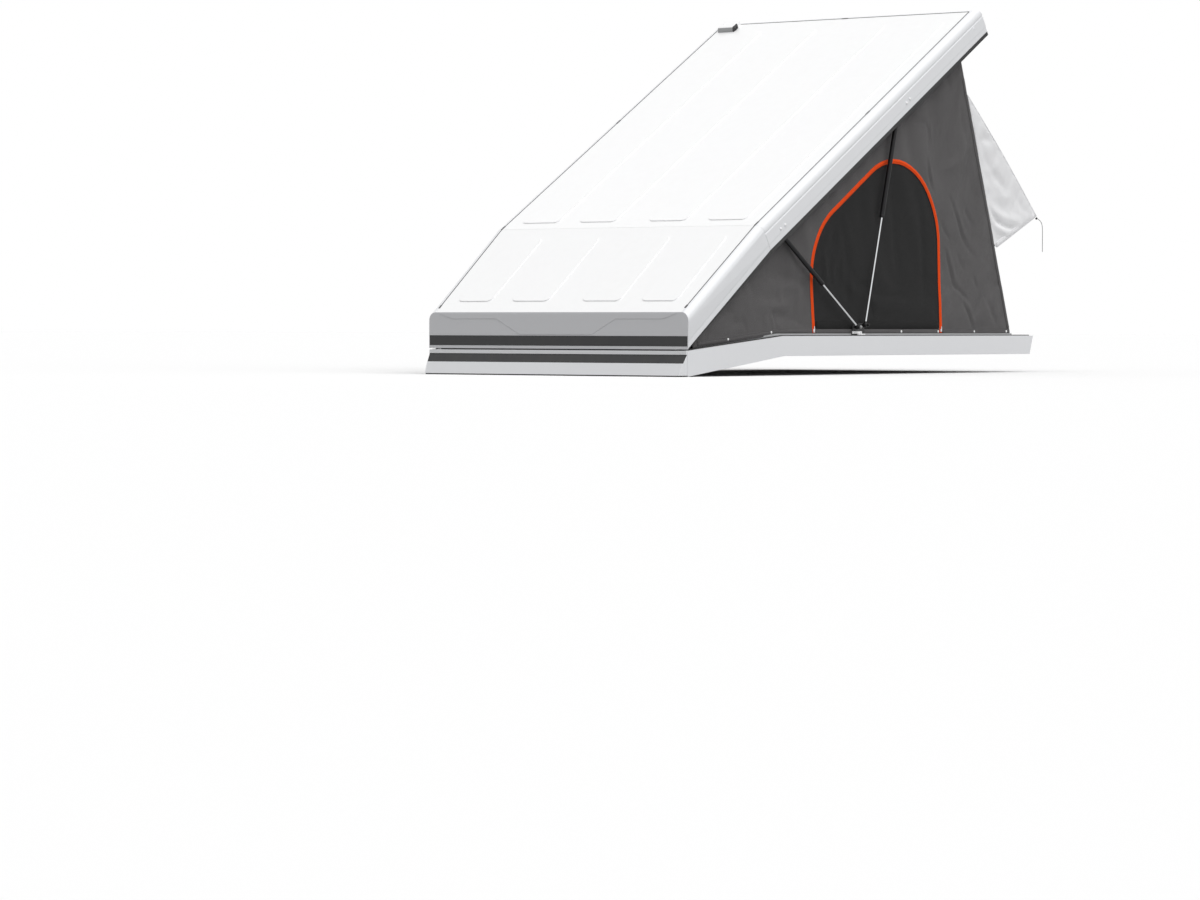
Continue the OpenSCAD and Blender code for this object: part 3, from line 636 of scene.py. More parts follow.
# Creases that the cloth keeps: lines [y, z] over the panel, each with a width and a depth (mm)
def creased(flat, creases):
    depth = np.zeros(len(flat))
    for line, width, deep in creases:
        line = np.array([tuple(p) for p in smoothPath([Vector(p) for p in line], 5)])
        nearest, along, run = np.full(len(flat), 1e9), np.zeros(len(flat)), 0.0
        for a, b in zip(line, line[1:]):
            d = b - a
            length = np.linalg.norm(d)
            t = np.clip(((flat - a) @ d) / length ** 2, 0, 1)
            far = np.linalg.norm(flat - a - t[:, None] * d, axis=1)
            closer = far < nearest
            nearest = np.where(closer, far, nearest)
            along = np.where(closer, run + t * length, along)
            run += length
        fade = np.sin(math.pi * np.clip(along / run, 0.04, 0.96)) ** 0.5
        depth += deep * fade * np.exp(-(nearest / width) ** 2)
    return depth


# Halves a net's triangles and rounds it, so that creases can be laid on finer cloth
def finer(points, faces):
    mesh = bpy.data.meshes.new("finer")
    mesh.from_pydata([tuple(p) for p in points], [], faces)
    piece = bpy.data.objects.new("finer", mesh)
    scene.collection.objects.link(piece)
    smooth = piece.modifiers.new("smooth", "SUBSURF")
    smooth.levels = 1
    smooth.boundary_smooth = "PRESERVE_CORNERS"
    shown = piece.evaluated_get(bpy.context.evaluated_depsgraph_get()).to_mesh()
    fine = np.zeros(len(shown.vertices) * 3, np.float32)
    shown.vertices.foreach_get("co", fine)
    quads = [list(face.vertices) for face in shown.polygons]
    bpy.data.objects.remove(piece)
    return fine.reshape(-1, 3).astype(float), quads


# How near each point lies to the edge of its panel, from 0 on the edge to 1 well inside
def calmness(flat, outlines, reach):
    nearest = np.full(len(flat), 1e9)
    for outline in outlines:
        for i, a in enumerate(outline):
            a, b = np.array(tuple(outline[i - 1])), np.array(tuple(a))
            d = b - a
            t = np.clip(((flat - a) @ d) / max(d @ d, 1e-9), 0, 1)
            nearest = np.minimum(nearest, np.linalg.norm(flat - a - t[:, None] * d, axis=1))
    x = np.clip(nearest / reach, 0, 1)
    return x * x * (3 - 2 * x)


def rumple(flat, size, seed):
    return np.array([noise.fractal(Vector((p[0] / size, p[1] / (size * 1.8), seed)), 0.6, 2.0, 3)
                     for p in flat])


canvas = {"x": 713.5, "foot": 181, "rearY": 2652, "lean": 0.3465, "top": 1640, "thick": 0.0012,
          "net": 22, "spare": 0.012, "play": 0.009, "hem": 208, "zipWidth": 0.021, "stiffReach": 95}
# The side zip's middle line as [y, z, r] corners, running on below the window down to the clamp
sideZip = [(987, 150, 0), (948, 633, 350), (1761, 1128, 365), (2008, 712, 401), (2037, 150, 0)]
backWindow = [(-430, 260, 60), (430, 260, 60), (430, 1150, 200), (-430, 1150, 200)]
# Creases of the side panels: sharp ones beside the window, softer ones towards the front
sideCreases = [
    ([(1911, 1004), (1925, 942), (1947, 888), (1969, 857)], 8, -6.0),
    ([(1925, 1010), (1945, 940), (1965, 895)], 12, 3.5),
    ([(2028, 717), (2071, 663), (2115, 632)], 9, -5.0),
    ([(2072, 583), (2109, 528), (2138, 458), (2160, 410), (2264, 347)], 9, -7.0),
    ([(2095, 590), (2132, 530), (2162, 460), (2185, 425)], 13, 4.0),
    ([(2099, 829), (2158, 759), (2217, 673), (2262, 610), (2320, 555)], 10, -5.0),
    ([(2125, 835), (2185, 760), (2240, 680), (2290, 620)], 15, 3.5),
    ([(2245, 793), (2275, 754), (2319, 707)], 14, -4.5),
    ([(2188, 570), (2233, 490)], 10, -3.5),
    ([(2307, 459), (2352, 396)], 10, -4.0),
    ([(2220, 331), (2279, 268), (2309, 214)], 9, -6.0),
    ([(2250, 335), (2305, 268), (2332, 218)], 13, 3.0),
    ([(2426, 364), (2487, 276), (2533, 222)], 16, -4.5),
    ([(2498, 407), (2560, 438)], 14, -3.5),
    ([(2039, 1184), (2016, 1118)], 12, -3.5),
    ([(1810, 1180), (1895, 1176), (1924, 1130), (1917, 1067)], 13, -5.0),
    ([(2040, 961), (2156, 998), (2225, 1072), (2257, 1121)], 26, 6.0),
    ([(1950, 1180), (1956, 1069)], 10, 3.5),
    ([(661, 283), (687, 229), (696, 205)], 8, -5.0),
    ([(645, 290), (668, 235), (676, 205)], 11, 3.0),
    ([(626, 452), (763, 443), (880, 415), (935, 370)], 30, -6.5),
    ([(290, 233), (415, 238), (458, 263)], 24, -5.0),
    ([(814, 249), (930, 219)], 16, -3.5),
    ([(480, 330), (600, 380), (740, 390), (860, 350)], 38, 5.0),
    ([(1210, 960), (1330, 1040), (1480, 1090)], 24, -4.0),
    ([(1060, 830), (1110, 800), (1180, 840)], 18, 3.5),
    ([(2200, 1290), (2215, 1180), (2250, 1110)], 16, -3.5),
]
rearCreases = [
    ([(-560, 210), (-520, 420), (-500, 700)], 14, -5.0),
    ([(-520, 205), (-470, 350), (-465, 500)], 20, 4.0),
    ([(570, 205), (540, 380), (550, 620)], 14, -5.0),
    ([(500, 200), (490, 300), (505, 420)], 18, 4.0),
    ([(-620, 1350), (-560, 1150), (-530, 1000)], 16, -5.0),
    ([(640, 1380), (570, 1200), (520, 1090)], 16, -5.0),
    ([(-300, 1260), (0, 1230), (310, 1265)], 24, -5.0),
    ([(-150, 215), (20, 235), (200, 212)], 14, 3.0),
]
paneCreases = [
    ([(1180, 760), (1240, 560), (1260, 330)], 26, -3.0),
    ([(1620, 930), (1640, 700), (1690, 420)], 30, -3.0),
    ([(1850, 820), (1880, 600), (1900, 360)], 26, -3.0),
    ([(1060, 560), (1100, 420), (1180, 300)], 22, 2.5),
]


def rearLine(z):
    return canvas["rearY"] - canvas["lean"] * (z - 195)


def ringTop(y):
    return 177 if y >= 690 else 113 + 64 * y / 690


def sidePlace(hand):
    return lambda p: roof(hand * canvas["x"], p[0], p[1])


def rearPlace(p):
    return roof(p[0], rearLine(p[1]) - 1.5, p[1])


def onSide(points):
    return np.stack([points[:, 1] * 1000 + midY, points[:, 2] * 1000], axis=1)


def onRear(points):
    return np.stack([points[:, 0] * 1000, points[:, 2] * 1000], axis=1)


def pick(points, faces, wanted):
    used = sorted({i for f, w in zip(faces, wanted) if w for i in f})
    place = {old: new for new, old in enumerate(used)}
    return points[used], [[place[i] for i in f] for f, w in zip(faces, wanted) if w]


def softPiece(name, points, faces, material, thick=0.0):
    piece = addPiece(name, [(points, faces)], material, "base")
    if thick:
        solid = piece.modifiers.new("thickness", "SOLIDIFY")
        solid.thickness = thick
        solid.offset = 0
    return piece


# A strip of cloth sewn along a line, with its two rows of stitches
def seamParts(line, place, normal, width):
    rail = [place(p) for p in evenly(line, 18, closed=False)]
    band = sweep([p + normal * 0.0006 for p in rail], flatProfile(width / 1000, 0.0009), normal)
    rows = []
    for side in (-1, 1):
        shifted = offsetLine(line, side * (width / 2 - 3))
        row = [place(p) + normal * 0.0016 for p in evenly(shifted, 2.2, closed=False)]
        rows.append(sweep(row, roundProfile(0.0005, 5), normal,
                          swell=lambda i: (0.2, 1.0, 1.0)[i % 3]))
    return band, rows


# The zip: a woven tape, its coil with a tooth every few mm, and a slider at each low end
def zipParts(line, place, normal, closed=False):
    rail = evenly([Vector(p) for p in line], 12, closed)
    tape = [place(p) + normal * 0.0003 for p in rail]
    fine = [place(p) + normal * 0.0012 for p in evenly([Vector(p) for p in line], 1.7, closed)]
    coil = sweep(fine, roundProfile(0.0024, 6), normal,
                 swell=lambda i: 1.0 if i % 2 else 0.72, closed=closed)
    return sweep(tape, flatProfile(canvas["zipWidth"], 0.0011), normal, closed=closed), coil


def sliderParts(at, along, normal):
    side = along.cross(normal).normalized()
    body = sweep([at + normal * 0.003 - along * 0.006, at + normal * 0.003 + along * 0.006],
                 [(-0.005, -0.002), (0.005, -0.002), (0.006, 0.001), (0.004, 0.003),
                  (-0.004, 0.003), (-0.006, 0.001)], normal)
    pull = sweep([at + normal * 0.0055 + along * k + side * 0.0004 for k in (0.0, 0.008, 0.018)],
                 flatProfile(0.005, 0.0012), normal)
    return [body, pull]


def offsetLine(line, out):
    moved = []
    for i, p in enumerate(line):
        a, b = line[max(i - 1, 0)], line[min(i + 1, len(line) - 1)]
        d = (b - a).normalized()
        moved.append(p + Vector((-d.y, d.x)) * out)
    return moved


# One wall of the tent with its window pane. Returns where a point of the plan lies on the cloth.
def makePanel(name, outline, window, place, plan, normal, seed, words):
    flat, faces = netOver(outline, [window], words["net"], seed)
    start = np.array([place(p) for p in flat])
    axis = np.array(normal)
    rim = rimOf(faces)
    calm = np.ones(len(flat))
    calm[rim] = 0
    wave = rumple(flat, 210, seed) * 0.003 * calm
    begun = start + wave[:, None] * axis
    done = settle(start, begun, faces, rim, canvas["spare"], canvas["play"], 0.3)
    # Zips, hems and the clamp stiffen the cloth beside them
    free = 0.08 + 0.92 * calmness(plan(start), [outline, window], canvas["stiffReach"])
    done = start + (done - start) * free[:, None]
    glazed = isInside(np.array([flat[f].mean(axis=0) for f in faces]), window)
    clothPoints, clothFaces = finer(*pick(done, faces, ~glazed))
    spread = plan(clothPoints)
    still = calmness(spread, [outline], 26)
    folds = creased(spread, words["creases"]) * still / 1000
    clothPoints += folds[:, None] * axis
    flatter = done - axis * ((done - start) @ axis * 0.5)[:, None]
    panePoints, paneFaces = finer(*pick(flatter, faces, glazed))
    spread = plan(panePoints)
    still = calmness(spread, [window], 60)
    panePoints += (creased(spread, words["paneCreases"]) * still / 1000 - 0.001)[:, None] * axis
    sheet = softPiece(name, clothPoints, clothFaces, fabric["tentCanvas"],
                      canvas["thick"])
    pane = softPiece(words["pane"], panePoints, paneFaces, fabric["insectMesh"])
    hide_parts(words["node"])
    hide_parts(words["paneNode"])
    foldAway(sheet)
    foldAway(pane)
    # Zips and hems lie on the settled cloth, so they ask how far it stands out at a point
    tree = kdtree.KDTree(len(clothPoints))
    base = np.array([place(p) for p in plan(clothPoints)])
    lift = (clothPoints - base) @ axis
    for i, p in enumerate(plan(clothPoints)):
        tree.insert((p[0], p[1], 0), i)
    tree.balance()

    def onCloth(p):
        near = tree.find_n((p[0], p[1], 0), 6)
        weight = [1 / (far + 3) ** 2 for _, _, far in near]
        out = sum(lift[i] * w for (_, i, _), w in zip(near, weight)) / sum(weight)
        return place(p) + normal * (out + canvas["thick"] / 2)
    return onCloth


# The part of a line over some height, ending exactly on it
def above(line, z):
    kept = []
    for a, b in zip(line, line[1:]):
        if (a.y < z) != (b.y < z):
            kept.append(a.lerp(b, (z - a.y) / (b.y - a.y)))
        if b.y >= z:
            kept.append(b)
    return kept


def makeTent():
    middle = roundCorners(sideZip)
    centre = Vector((1511, 597))
    window = above([centre + (p - centre) * 0.98 for p in middle], canvas["hem"])
    zips, tapes, metal, bands, stitches, panes = [], [], [], [], [], []
    for hand, side in ((1, "left"), (-1, "right")):
        outline = [Vector(p) for p in (
            (64, ringTop(64) + 4), (690, canvas["foot"]),
            (rearLine(canvas["foot"]) - 1, canvas["foot"]),
            (rearLine(canvas["top"]) - 1, canvas["top"]), (517, 658), (80, 292))]
        normal = Vector((hand, 0, 0))
        onCloth = makePanel(
            f"sideCanvas.{side}", outline, window, sidePlace(hand), onSide, normal, 3 + hand,
            {"pane": f"sideWindow.{side}", "node": f"canvas_{side}", "net": canvas["net"],
             "paneNode": f"window_{side}", "creases": sideCreases, "paneCreases": paneCreases})
        line = above(middle, 190.5)
        tape, coil = zipParts(line, onCloth, normal)
        tapes.append(tape)
        zips.append(coil)
        for end, ahead in ((line[0], line[1]), (line[-1], line[-2])):
            along = (onCloth(ahead) - onCloth(end)).normalized()
            metal += sliderParts(onCloth(end + (ahead - end).normalized() * 12), along, normal)
        rows = [[Vector((96, ringTop(96) + 21)), Vector((690, 198)), Vector((972, 198))],
                [Vector((998, 198)), Vector((2022, 198))],
                [Vector((2048, 198)), Vector((rearLine(198) - 14, 198))],
                [Vector((rearLine(z) - 13, z)) for z in (214, 500, 800, 1100, 1400)]]
        for row in rows:
            band, rowStitches = seamParts(row, onCloth, normal, 20)
            bands.append(band)
            stitches += rowStitches
        lower = [Vector((1000, 226)), Vector((2020, 226))]
        panes.append(sweep([roof(hand * (canvas["x"] - 0.2), p.x, p.y)
                            for p in evenly(lower, 18, closed=False)],
                           flatProfile(0.034, 0.0010), normal))
    rearNormal = Vector((0, 1, canvas["lean"])).normalized()
    half = canvas["x"] - 2
    outline = [Vector(p) for p in ((-half, canvas["foot"]), (half, canvas["foot"]),
                                   (half, canvas["top"]), (-half, canvas["top"]))]
    backLine = roundCorners(backWindow)
    onBack = makePanel("rearCanvas", outline, backLine, rearPlace, onRear, rearNormal, 9,
                       {"pane": "rearWindow", "node": "canvas_rear", "paneNode": "window_rear",
                        "net": 28, "creases": rearCreases, "paneCreases": []})
    tape, coil = zipParts(offsetLine(backLine, -8.5), onBack, rearNormal, closed=True)
    tapes.append(tape)
    zips.append(coil)
    for row in ([(-690, 198), (690, 198)], [(-697, 212), (-697, 1400)], [(697, 212), (697, 1400)]):
        band, rowStitches = seamParts([Vector(p) for p in row], onBack, rearNormal, 20)
        bands.append(band)
        stitches += rowStitches
    tapePiece = addPiece("windowZipTape", tapes, fabric["zipTape"], "base")
    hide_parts("window_zips")
    pieces = [
        tapePiece,
        addPiece("windowZipCoil", zips, paint["zipOrange"], "base"),
        addPiece("windowZipSliders", metal, paint["zincSteel"], "base", False),
        addPiece("canvasHems", bands, fabric["tentCanvas"], "base"),
        addPiece("canvasStitches", stitches, fabric["seamThread"], "base"),
        addPiece("windowHems", panes, fabric["windowHem"], "base"),
    ]
    for piece in pieces:
        foldAway(piece)


makeTent()
print("tent hung")

hood = {"x": 713.5, "top": 1325, "cornerY": 2889, "cornerZ": 761, "footZ": 597, "thick": 0.001,
        "net": 24, "spare": 0.006, "play": 0.006, "bulge": 9}
# Creases of the gussets: a deep one where they gather over the rod, and soft valleys above it
hoodCreases = [
    ([(2470, 786), (2500, 760), (2545, 728), (2600, 706), (2672, 697)], 9, -13.0),
    ([(2484, 806), (2524, 778), (2584, 752), (2684, 736)], 20, 7.0),
    ([(2462, 745), (2520, 705), (2590, 680)], 16, 6.0),
    ([(2434, 1029), (2475, 980), (2520, 943), (2565, 910), (2611, 883)], 24, -7.0),
    ([(2400, 1120), (2440, 1117), (2480, 1110)], 16, -4.0),
    ([(2700, 860), (2760, 800), (2830, 770)], 20, -4.0),
    ([(2560, 690), (2620, 670), (2700, 690)], 12, 3.0),
]
hoodWaves = [
    ([(-420, 60), (-380, 330), (-430, 640)], 70, -10.0),
    ([(120, 40), (60, 360), (130, 650)], 90, -12.0),
    ([(520, 60), (560, 300), (520, 560)], 60, -8.0),
    ([(-650, 560), (-300, 640), (0, 690)], 40, 5.0),
]


# The three edges of a gusset in its own plane: its top, its outer corner and its foot
def gussetShape():
    return [Vector((rearLine(hood["top"]) + 2, hood["top"])),
            Vector((hood["cornerY"], hood["cornerZ"])),
            Vector((rearLine(hood["footZ"]) + 2, hood["footZ"]))]


# The seam between roof and gusset swells a little between its ends
def seamSwell(share):
    return hood["bulge"] * math.sin(math.pi * share)


def makeHood():
    top, corner, foot = gussetShape()
    half = hood["x"]
    slope = corner - top
    length = slope.length
    along = slope / length
    rise = Vector((-along.y, along.x))
    # The roof of the hood, unrolled: across it and down its slope
    outline = [Vector(p) for p in ((-half, 0), (half, 0), (half, length), (-half, length))]
    flat, faces = netOver(outline, [], hood["net"], 21)
    roofPoints = []
    for p in flat:
        q = top + along * p[1] + rise * seamSwell(p[1] / length)
        roofPoints.append(roof(p[0], q.x, q.y))
    allPoints, allFaces, offset = [np.array(roofPoints)], [list(f) for f in faces], len(flat)
    for hand in (1, -1):
        edge = [top + slope * (k / 24) + rise * seamSwell(k / 24) for k in range(25)]
        sideFlat, sideFaces = netOver([*edge, foot], [], hood["net"], 22)
        allFaces += [[i + offset for i in (f if hand > 0 else f[::-1])] for f in sideFaces]
        allPoints.append(np.array([roof(hand * half, p[0], p[1]) for p in sideFlat]))
        offset += len(sideFlat)
    start = np.concatenate(allPoints)
    # The panels are sewn edge to edge, so points of a seam are drawn together and become one
    tree = kdtree.KDTree(len(start))
    for i, p in enumerate(start):
        tree.insert(p, i)
    tree.balance()
    renumber = []
    for i, p in enumerate(start):
        renumber.append(min(k for _, k, _ in tree.find_range(p, 0.009)
                            if k == i or (k < len(flat)) != (i < len(flat))))
    faces = [[renumber[i] for i in f] for f in allFaces]
    faces = [f for f in faces if len(set(f)) == 3]
    points, faces = pick(start, faces, [True] * len(faces))
    held = []
    for i, p in enumerate(points):
        q = Vector((p[1] * 1000 + midY, p[2] * 1000))
        outer = abs(abs(p[0]) * 1000 - half) < 1
        down = (q - top).dot(along)
        onSeam = outer and abs((q - top).dot(rise) - seamSwell(down / length)) < 3
        onRod = outer and abs((q - foot).cross((corner - foot).normalized())) < 3
        if abs(q.x - rearLine(q.y) - 2) < 4 or (q - corner).length < 6 or onSeam or onRod:
            held.append(i)
    towards = np.zeros_like(points)
    flank = np.abs(np.abs(points[:, 0]) * 1000 - half) < 1
    towards[flank, 0] = np.sign(points[flank, 0])
    towards[~flank] = (0, rise.x, rise.y)
    wave = np.array([noise.fractal(Vector(p) * 4.5, 0.6, 2.0, 3) for p in points]) * 0.003
    wave[held] = 0
    done = settle(points, points + wave[:, None] * towards, faces, held, hood["spare"],
                  hood["play"], 1.0)
    done, faces = finer(done, faces)
    flank = np.abs(np.abs(done[:, 0]) * 1000 - half) < 14
    spread = onSide(done)
    edge = [top + slope * (k / 12) + rise * seamSwell(k / 12) for k in range(13)]
    still = calmness(spread, [[*edge, foot]], 22)
    folds = creased(spread, hoodCreases) * still * flank / 1000
    done[:, 0] += np.sign(done[:, 0]) * folds
    unrolled = np.stack([done[:, 0] * 1000, (spread - np.array(top)) @ np.array(along)], axis=1)
    still = calmness(unrolled, [outline], 60) * ~flank
    sag = creased(unrolled, hoodWaves) * still / 1000
    done[:, 1] += sag * rise.x
    done[:, 2] += sag * rise.y
    cloth = softPiece("rearHood", done, faces, fabric["hoodCloth"], hood["thick"])
    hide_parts("rear_hood")
    hems, threads = hoodHems(top, corner, foot, along, rise, length)
    rods = hoodRods()
    for piece in (cloth, hems, threads, rods):
        foldAway(piece)


# The hem folds round the rods along the free edges, and piping covers the side seams
def hoodHems(top, corner, foot, along, rise, length):
    parts, rows = [], []
    for hand in (1, -1):
        out = Vector((hand, 0, 0))
        x = hand * (hood["x"] + 0.8)
        inward = (corner - foot).orthogonal().normalized()
        inward = inward if inward.y > 0 else -inward
        for shift, wide in ((inward * 12, 0.026),):
            line = [roof(x, *(foot.lerp(corner, k / 24) + shift)) for k in range(1, 24)]
            parts.append(sweep(line, flatProfile(wide, 0.0012), out))
        for d in (3, 21):
            line = [roof(x + hand * 1.3, *(foot.lerp(corner, k / 180) + inward * d))
                    for k in range(8, 172)]
            rows.append(sweep(line, roundProfile(0.0005, 5), out,
                              swell=lambda i: (0.2, 1.0, 1.0)[i % 3]))
        seam = [top + along * (length * k / 30) + rise * (seamSwell(k / 30) + 1.2)
                for k in range(31)]
        parts.append(sweep([roof(hand * (hood["x"] - 0.3), *p) for p in seam],
                           roundProfile(0.0022, 8), out))
    bar = [roof(x, corner.x - 7, corner.y + 1) for x in range(-708, 709, 24)]
    parts.append(sweep(bar, roundProfile(0.0065, 12), Vector((0, 0, 1))))
    hems = addPiece("hoodHem", parts, fabric["hoodCloth"], "base")
    return hems, addPiece("hoodStitches", rows, fabric["hoodThread"], "base")


# A bar bent up at both ends: round corners joined by straight runs
def bentPath(corners, radius, steps=8):
    path = [corners[0]]
    for a, b, c in zip(corners, corners[1:], corners[2:]):
        p, q = b + (a - b).normalized() * radius, b + (c - b).normalized() * radius
        for k in range(steps + 1):
            t = k / steps
            path.append(p * (1 - t) ** 2 + b * 2 * t * (1 - t) + q * t * t)
    return [*path, corners[-1]]


def hoodRods():
    foot = (rearLine(hood["footZ"]) + 12, hood["footZ"] + 16)
    tip = (hood["cornerY"] - 8, hood["cornerZ"] + 1)
    x = 705
    path = bentPath([roof(-x, *foot), roof(-x, *tip), roof(x, *tip), roof(x, *foot)], 0.03)
    rods = addPiece("hoodFrame", [sweep(path, roundProfile(0.004, 12), Vector((0, 0.37, 0.93)))],
                    paint["millAluminium"], "base")
    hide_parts("hood_frame")
    return rods


makeHood()
print("hood hung")

# Rivets and bolts: the places are mm along the roof on its left side, repeated on its right
fixings = {
    "clampRivets": [323, 651, 985, 1335, 1698, 2012, 2327, 2615],
    "rearRivets": [-620, -310, 0, 310, 620],
    "rivetRadius": 0.006,
    "skirtBolts": [(828, 129), (867, 127), (2004, 126), (2038, 129)],
    "boltRadius": 0.0062,
    "skirtScrews": [(2693, 153)],
    "seamJoints": [728, 1752],
    "seamWidth": 5.0,
}
lidSide = {"rail": 765, "seam": 725, "top": 214, "kink": 714, "len": 2792,
           "slope": math.radians(6.25), "taper": math.radians(2.4)}


# A place on the lid's sloping front part: across from its seam, forward of the kink, over its skin
def onCheek(hand, out, ahead, over):
    c, s = math.cos(lidSide["taper"]), math.sin(lidSide["taper"])
    side, along = out * c - ahead * s, out * -s - ahead * c
    cs, ss = math.cos(lidSide["slope"]), math.sin(lidSide["slope"])
    x = lidSide["seam"] + side
    return onLid(hand * x, lidSide["kink"] + along * cs - over * ss,
                 lidSide["top"] + along * ss + over * cs)


def makeFixings():
    rivets, bolts, screws, rings = [], [], [], []
    for hand in (1, -1):
        out = Vector((hand, 0, 0))
        for y in fixings["clampRivets"]:
            z = ringTop(y) + 20
            rivets.append(domeHead(roof(hand * 715.8, y, z), out, fixings["rivetRadius"], 0.0034, 14))
        for y, z in fixings["skirtBolts"]:
            at = onLid(hand * lidSide["rail"], y, z)
            rings.append(washer(at, out, fixings["boltRadius"] * 1.35))
            bolts.append(domeHead(at + out * 0.0012, out, fixings["boltRadius"], 0.0042))
        for y, z in fixings["skirtScrews"]:
            at = onLid(hand * lidSide["rail"], y, z)
            screws.append(domeHead(at, out, 0.0052, 0.0025))
    back = Vector((0, 1, canvas["lean"])).normalized()
    for x in fixings["rearRivets"]:
        at = rearPlace((x, 197)) + back * 0.0022
        rivets.append(domeHead(at, back, fixings["rivetRadius"], 0.0034, 14))
    addPiece("canvasRivets", rivets, paint["studWhite"], "base")
    addPiece("skirtBolts", bolts, paint["studWhite"], "lid")
    addPiece("boltWashers", rings, paint["zincSteel"], "lid")
    addPiece("cornerScrews", screws, paint["zincSteel"], "lid")


# Dark strips in the joints between the skins and the rails, painted shade widened to stand in for the
# shadow in the narrow gaps, with a pad where two lengths meet
def makeSeams():
    runs, pads = [], []
    wide = flatProfile(fixings["seamWidth"] / 1000, 0.0007)
    top, edge = lidSide["top"] + 0.1, lidSide["seam"]
    rear = lidSide["len"] - 40.5
    for hand in (1, -1):
        main = [onLid(hand * edge, y, top) for y in np.linspace(lidSide["kink"], rear, 40)]
        front = [onCheek(hand, -0.3, d, 0.1) for d in np.linspace(700, 0, 24)]
        front = [p for p in front if p.y > roof(0, 6, 0).y]
        runs.append(sweep(main, wide, lidUp))
        runs.append(sweep(front, wide, lidUp))
        for y in fixings["seamJoints"]:
            pads.append(sweep([onLid(hand * edge, y + k, top) for k in (-16, 0, 16)],
                              flatProfile(0.008, 0.0016), lidUp))
        pads.append(sweep([front[0], front[0] + (front[1] - front[0]) * 0.7],
                          flatProfile(0.009, 0.0018), lidUp))
    runs.append(sweep([onLid(x, rear, top) for x in np.linspace(-edge, edge, 40)], wide, lidUp))
    pads.append(sweep([onLid(x, rear, top) for x in (-10, 8, 26)],
                      flatProfile(0.008, 0.0016), lidUp))
    addPiece("lidSeamShade", runs + pads, paint["seamPaintedShade"], "lid", False)
    kinkSeam = [onLid(x, lidSide["kink"], lidSide["top"] - 0.1)
                for x in np.linspace(-edge + 3, edge - 3, 40)]
    addPiece("kinkSealant", [sweep(kinkSeam, flatProfile(0.003, 0.0005), lidUp)],
             paint["lidWhite"], "lid", False)


# A flat plate from its outline, with a narrow chamfer round its outer face
def chamferedPlate(outline, place, out, height, chamfer):
    centre = sum(outline, Vector((0, 0))) / len(outline)
    rings = []
    for inset, h in ((0, -0.0005), (0, height - chamfer / 1000), (chamfer, height)):
        ring = []
        for i, p in enumerate(outline):
            a, b = outline[i - 1], outline[(i + 1) % len(outline)]
            na = Vector((-(p - a).y, (p - a).x)).normalized()
            nb = Vector((-(b - p).y, (b - p).x)).normalized()
            inward = (na + nb).normalized()
            if inward.dot(centre - p) < 0 and abs(inward.dot(centre - p)) > 1e-6:
                inward = -inward
            ring.append(place(p + inward * inset) + out * h)
        rings.append(ring)
    n = len(outline)
    points = [p for ring in rings for p in ring]
    faces = [[k * n + i, k * n + (i + 1) % n, (k + 1) * n + (i + 1) % n, (k + 1) * n + i]
             for k in range(2) for i in range(n)]
    faces += [[2 * n + i for i in range(n)], list(reversed(range(n)))]
    return points, faces


# Centre field pressed out of the nose. The real one carries lettering here, which is left bare.
noseField = [(-672, 276), (-600, 252), (-340, 252), (-205, 182), (205, 182), (340, 252),
             (600, 252), (672, 276)]


def makeNose():
    outline = [Vector(p) for p in noseField]
    plate = chamferedPlate(outline, lambda p: roof(p.x, 0, p.y), Vector((0, -1, 0)), 0.0016, 1.2)
    # The field wears the same painted shade as the nose plate, a grey darker than its white paint
    addPiece("noseField", [plate], paint["nosePaintedShade"], "lid", False)


cover = {"left": -708, "right": -616, "front": 2672, "back": 2748, "gland": 44}
coverSide = [(0, 0), (0, 6), (2, 11), (8, 20), (12, 22), (72, 22), (76, 19), (76, 0)]


# Cover over the cable hole, painted as the lid, with a black gland where the cables come out; grey
# facets on its front wall are painted shade
def makeCableCover():
    def shell(side, x0, x1, grow):
        middle = side[-1][0] / 2
        rings = []
        for x, k in ((x0, 0.96), (x0 + 2, 1.0), (x1 - 2, 1.0), (x1, 0.96)):
            rings += [onLid(x, cover["front"] + middle + (y - middle) * k * grow,
                            lidSide["top"] + z * k * grow) for y, z in side]
        n = len(side)
        faces = [[k * n + i, k * n + (i + 1) % n, (k + 1) * n + (i + 1) % n, (k + 1) * n + i]
                 for k in range(3) for i in range(n)]
        return rings, faces + [list(reversed(range(n))), [3 * n + i for i in range(n)]]

    body = addPiece("cableCover", [shell(coverSide, cover["left"], cover["right"], 1.0)],
                    paint["lidWhite"], "lid", False)
    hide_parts("cable_entry")
    # Grey facets over the white front wall: painted shade, as that wall faces down and forward, away
    # from the lamps
    front = [(-1, 0), (-1, 6), (1, 11.5), (7.2, 21), (9, 20), (3, 10), (1, 0)]
    rings = [onLid(x, cover["front"] + y, lidSide["top"] + z)
             for x in (cover["left"] + 1, cover["right"] - 3) for y, z in front]
    n = len(front)
    faces = [[i, (i + 1) % n, n + (i + 1) % n, n + i] for i in range(n)]
    faces += [list(reversed(range(n))), [n + i for i in range(n)]]
    addPiece("coverFrontShade", [(rings, faces)], paint["clampGrey"], "lid", False)
    gland = [(0, 0), (0, 6), (2, 11), (8, 20), (12, 22), (cover["gland"], 22), (cover["gland"], 0)]
    end = [shell(gland, cover["right"] - 3, cover["right"] + 5, 1.03)]
    for y in (cover["front"] + 16, cover["front"] + 31):
        end.append(revolve([(0.0055, 0.0), (0.0055, 0.003), (0.0035, 0.005), (0.0035, 0.008)],
                           onLid(cover["right"] + 5, y, lidSide["top"] + 10), outwards, 14))
    addPiece("cableGland", end, paint["mouldedBlack"], "lid")
    screws = [domeHead(onLid(x, cover["front"] + 42, lidSide["top"] + 22), lidUp, 0.004, 0.002, 12)
              for x in (cover["left"] + 16, cover["right"] - 16)]
    addPiece("coverScrews", screws, paint["studWhite"], "lid")


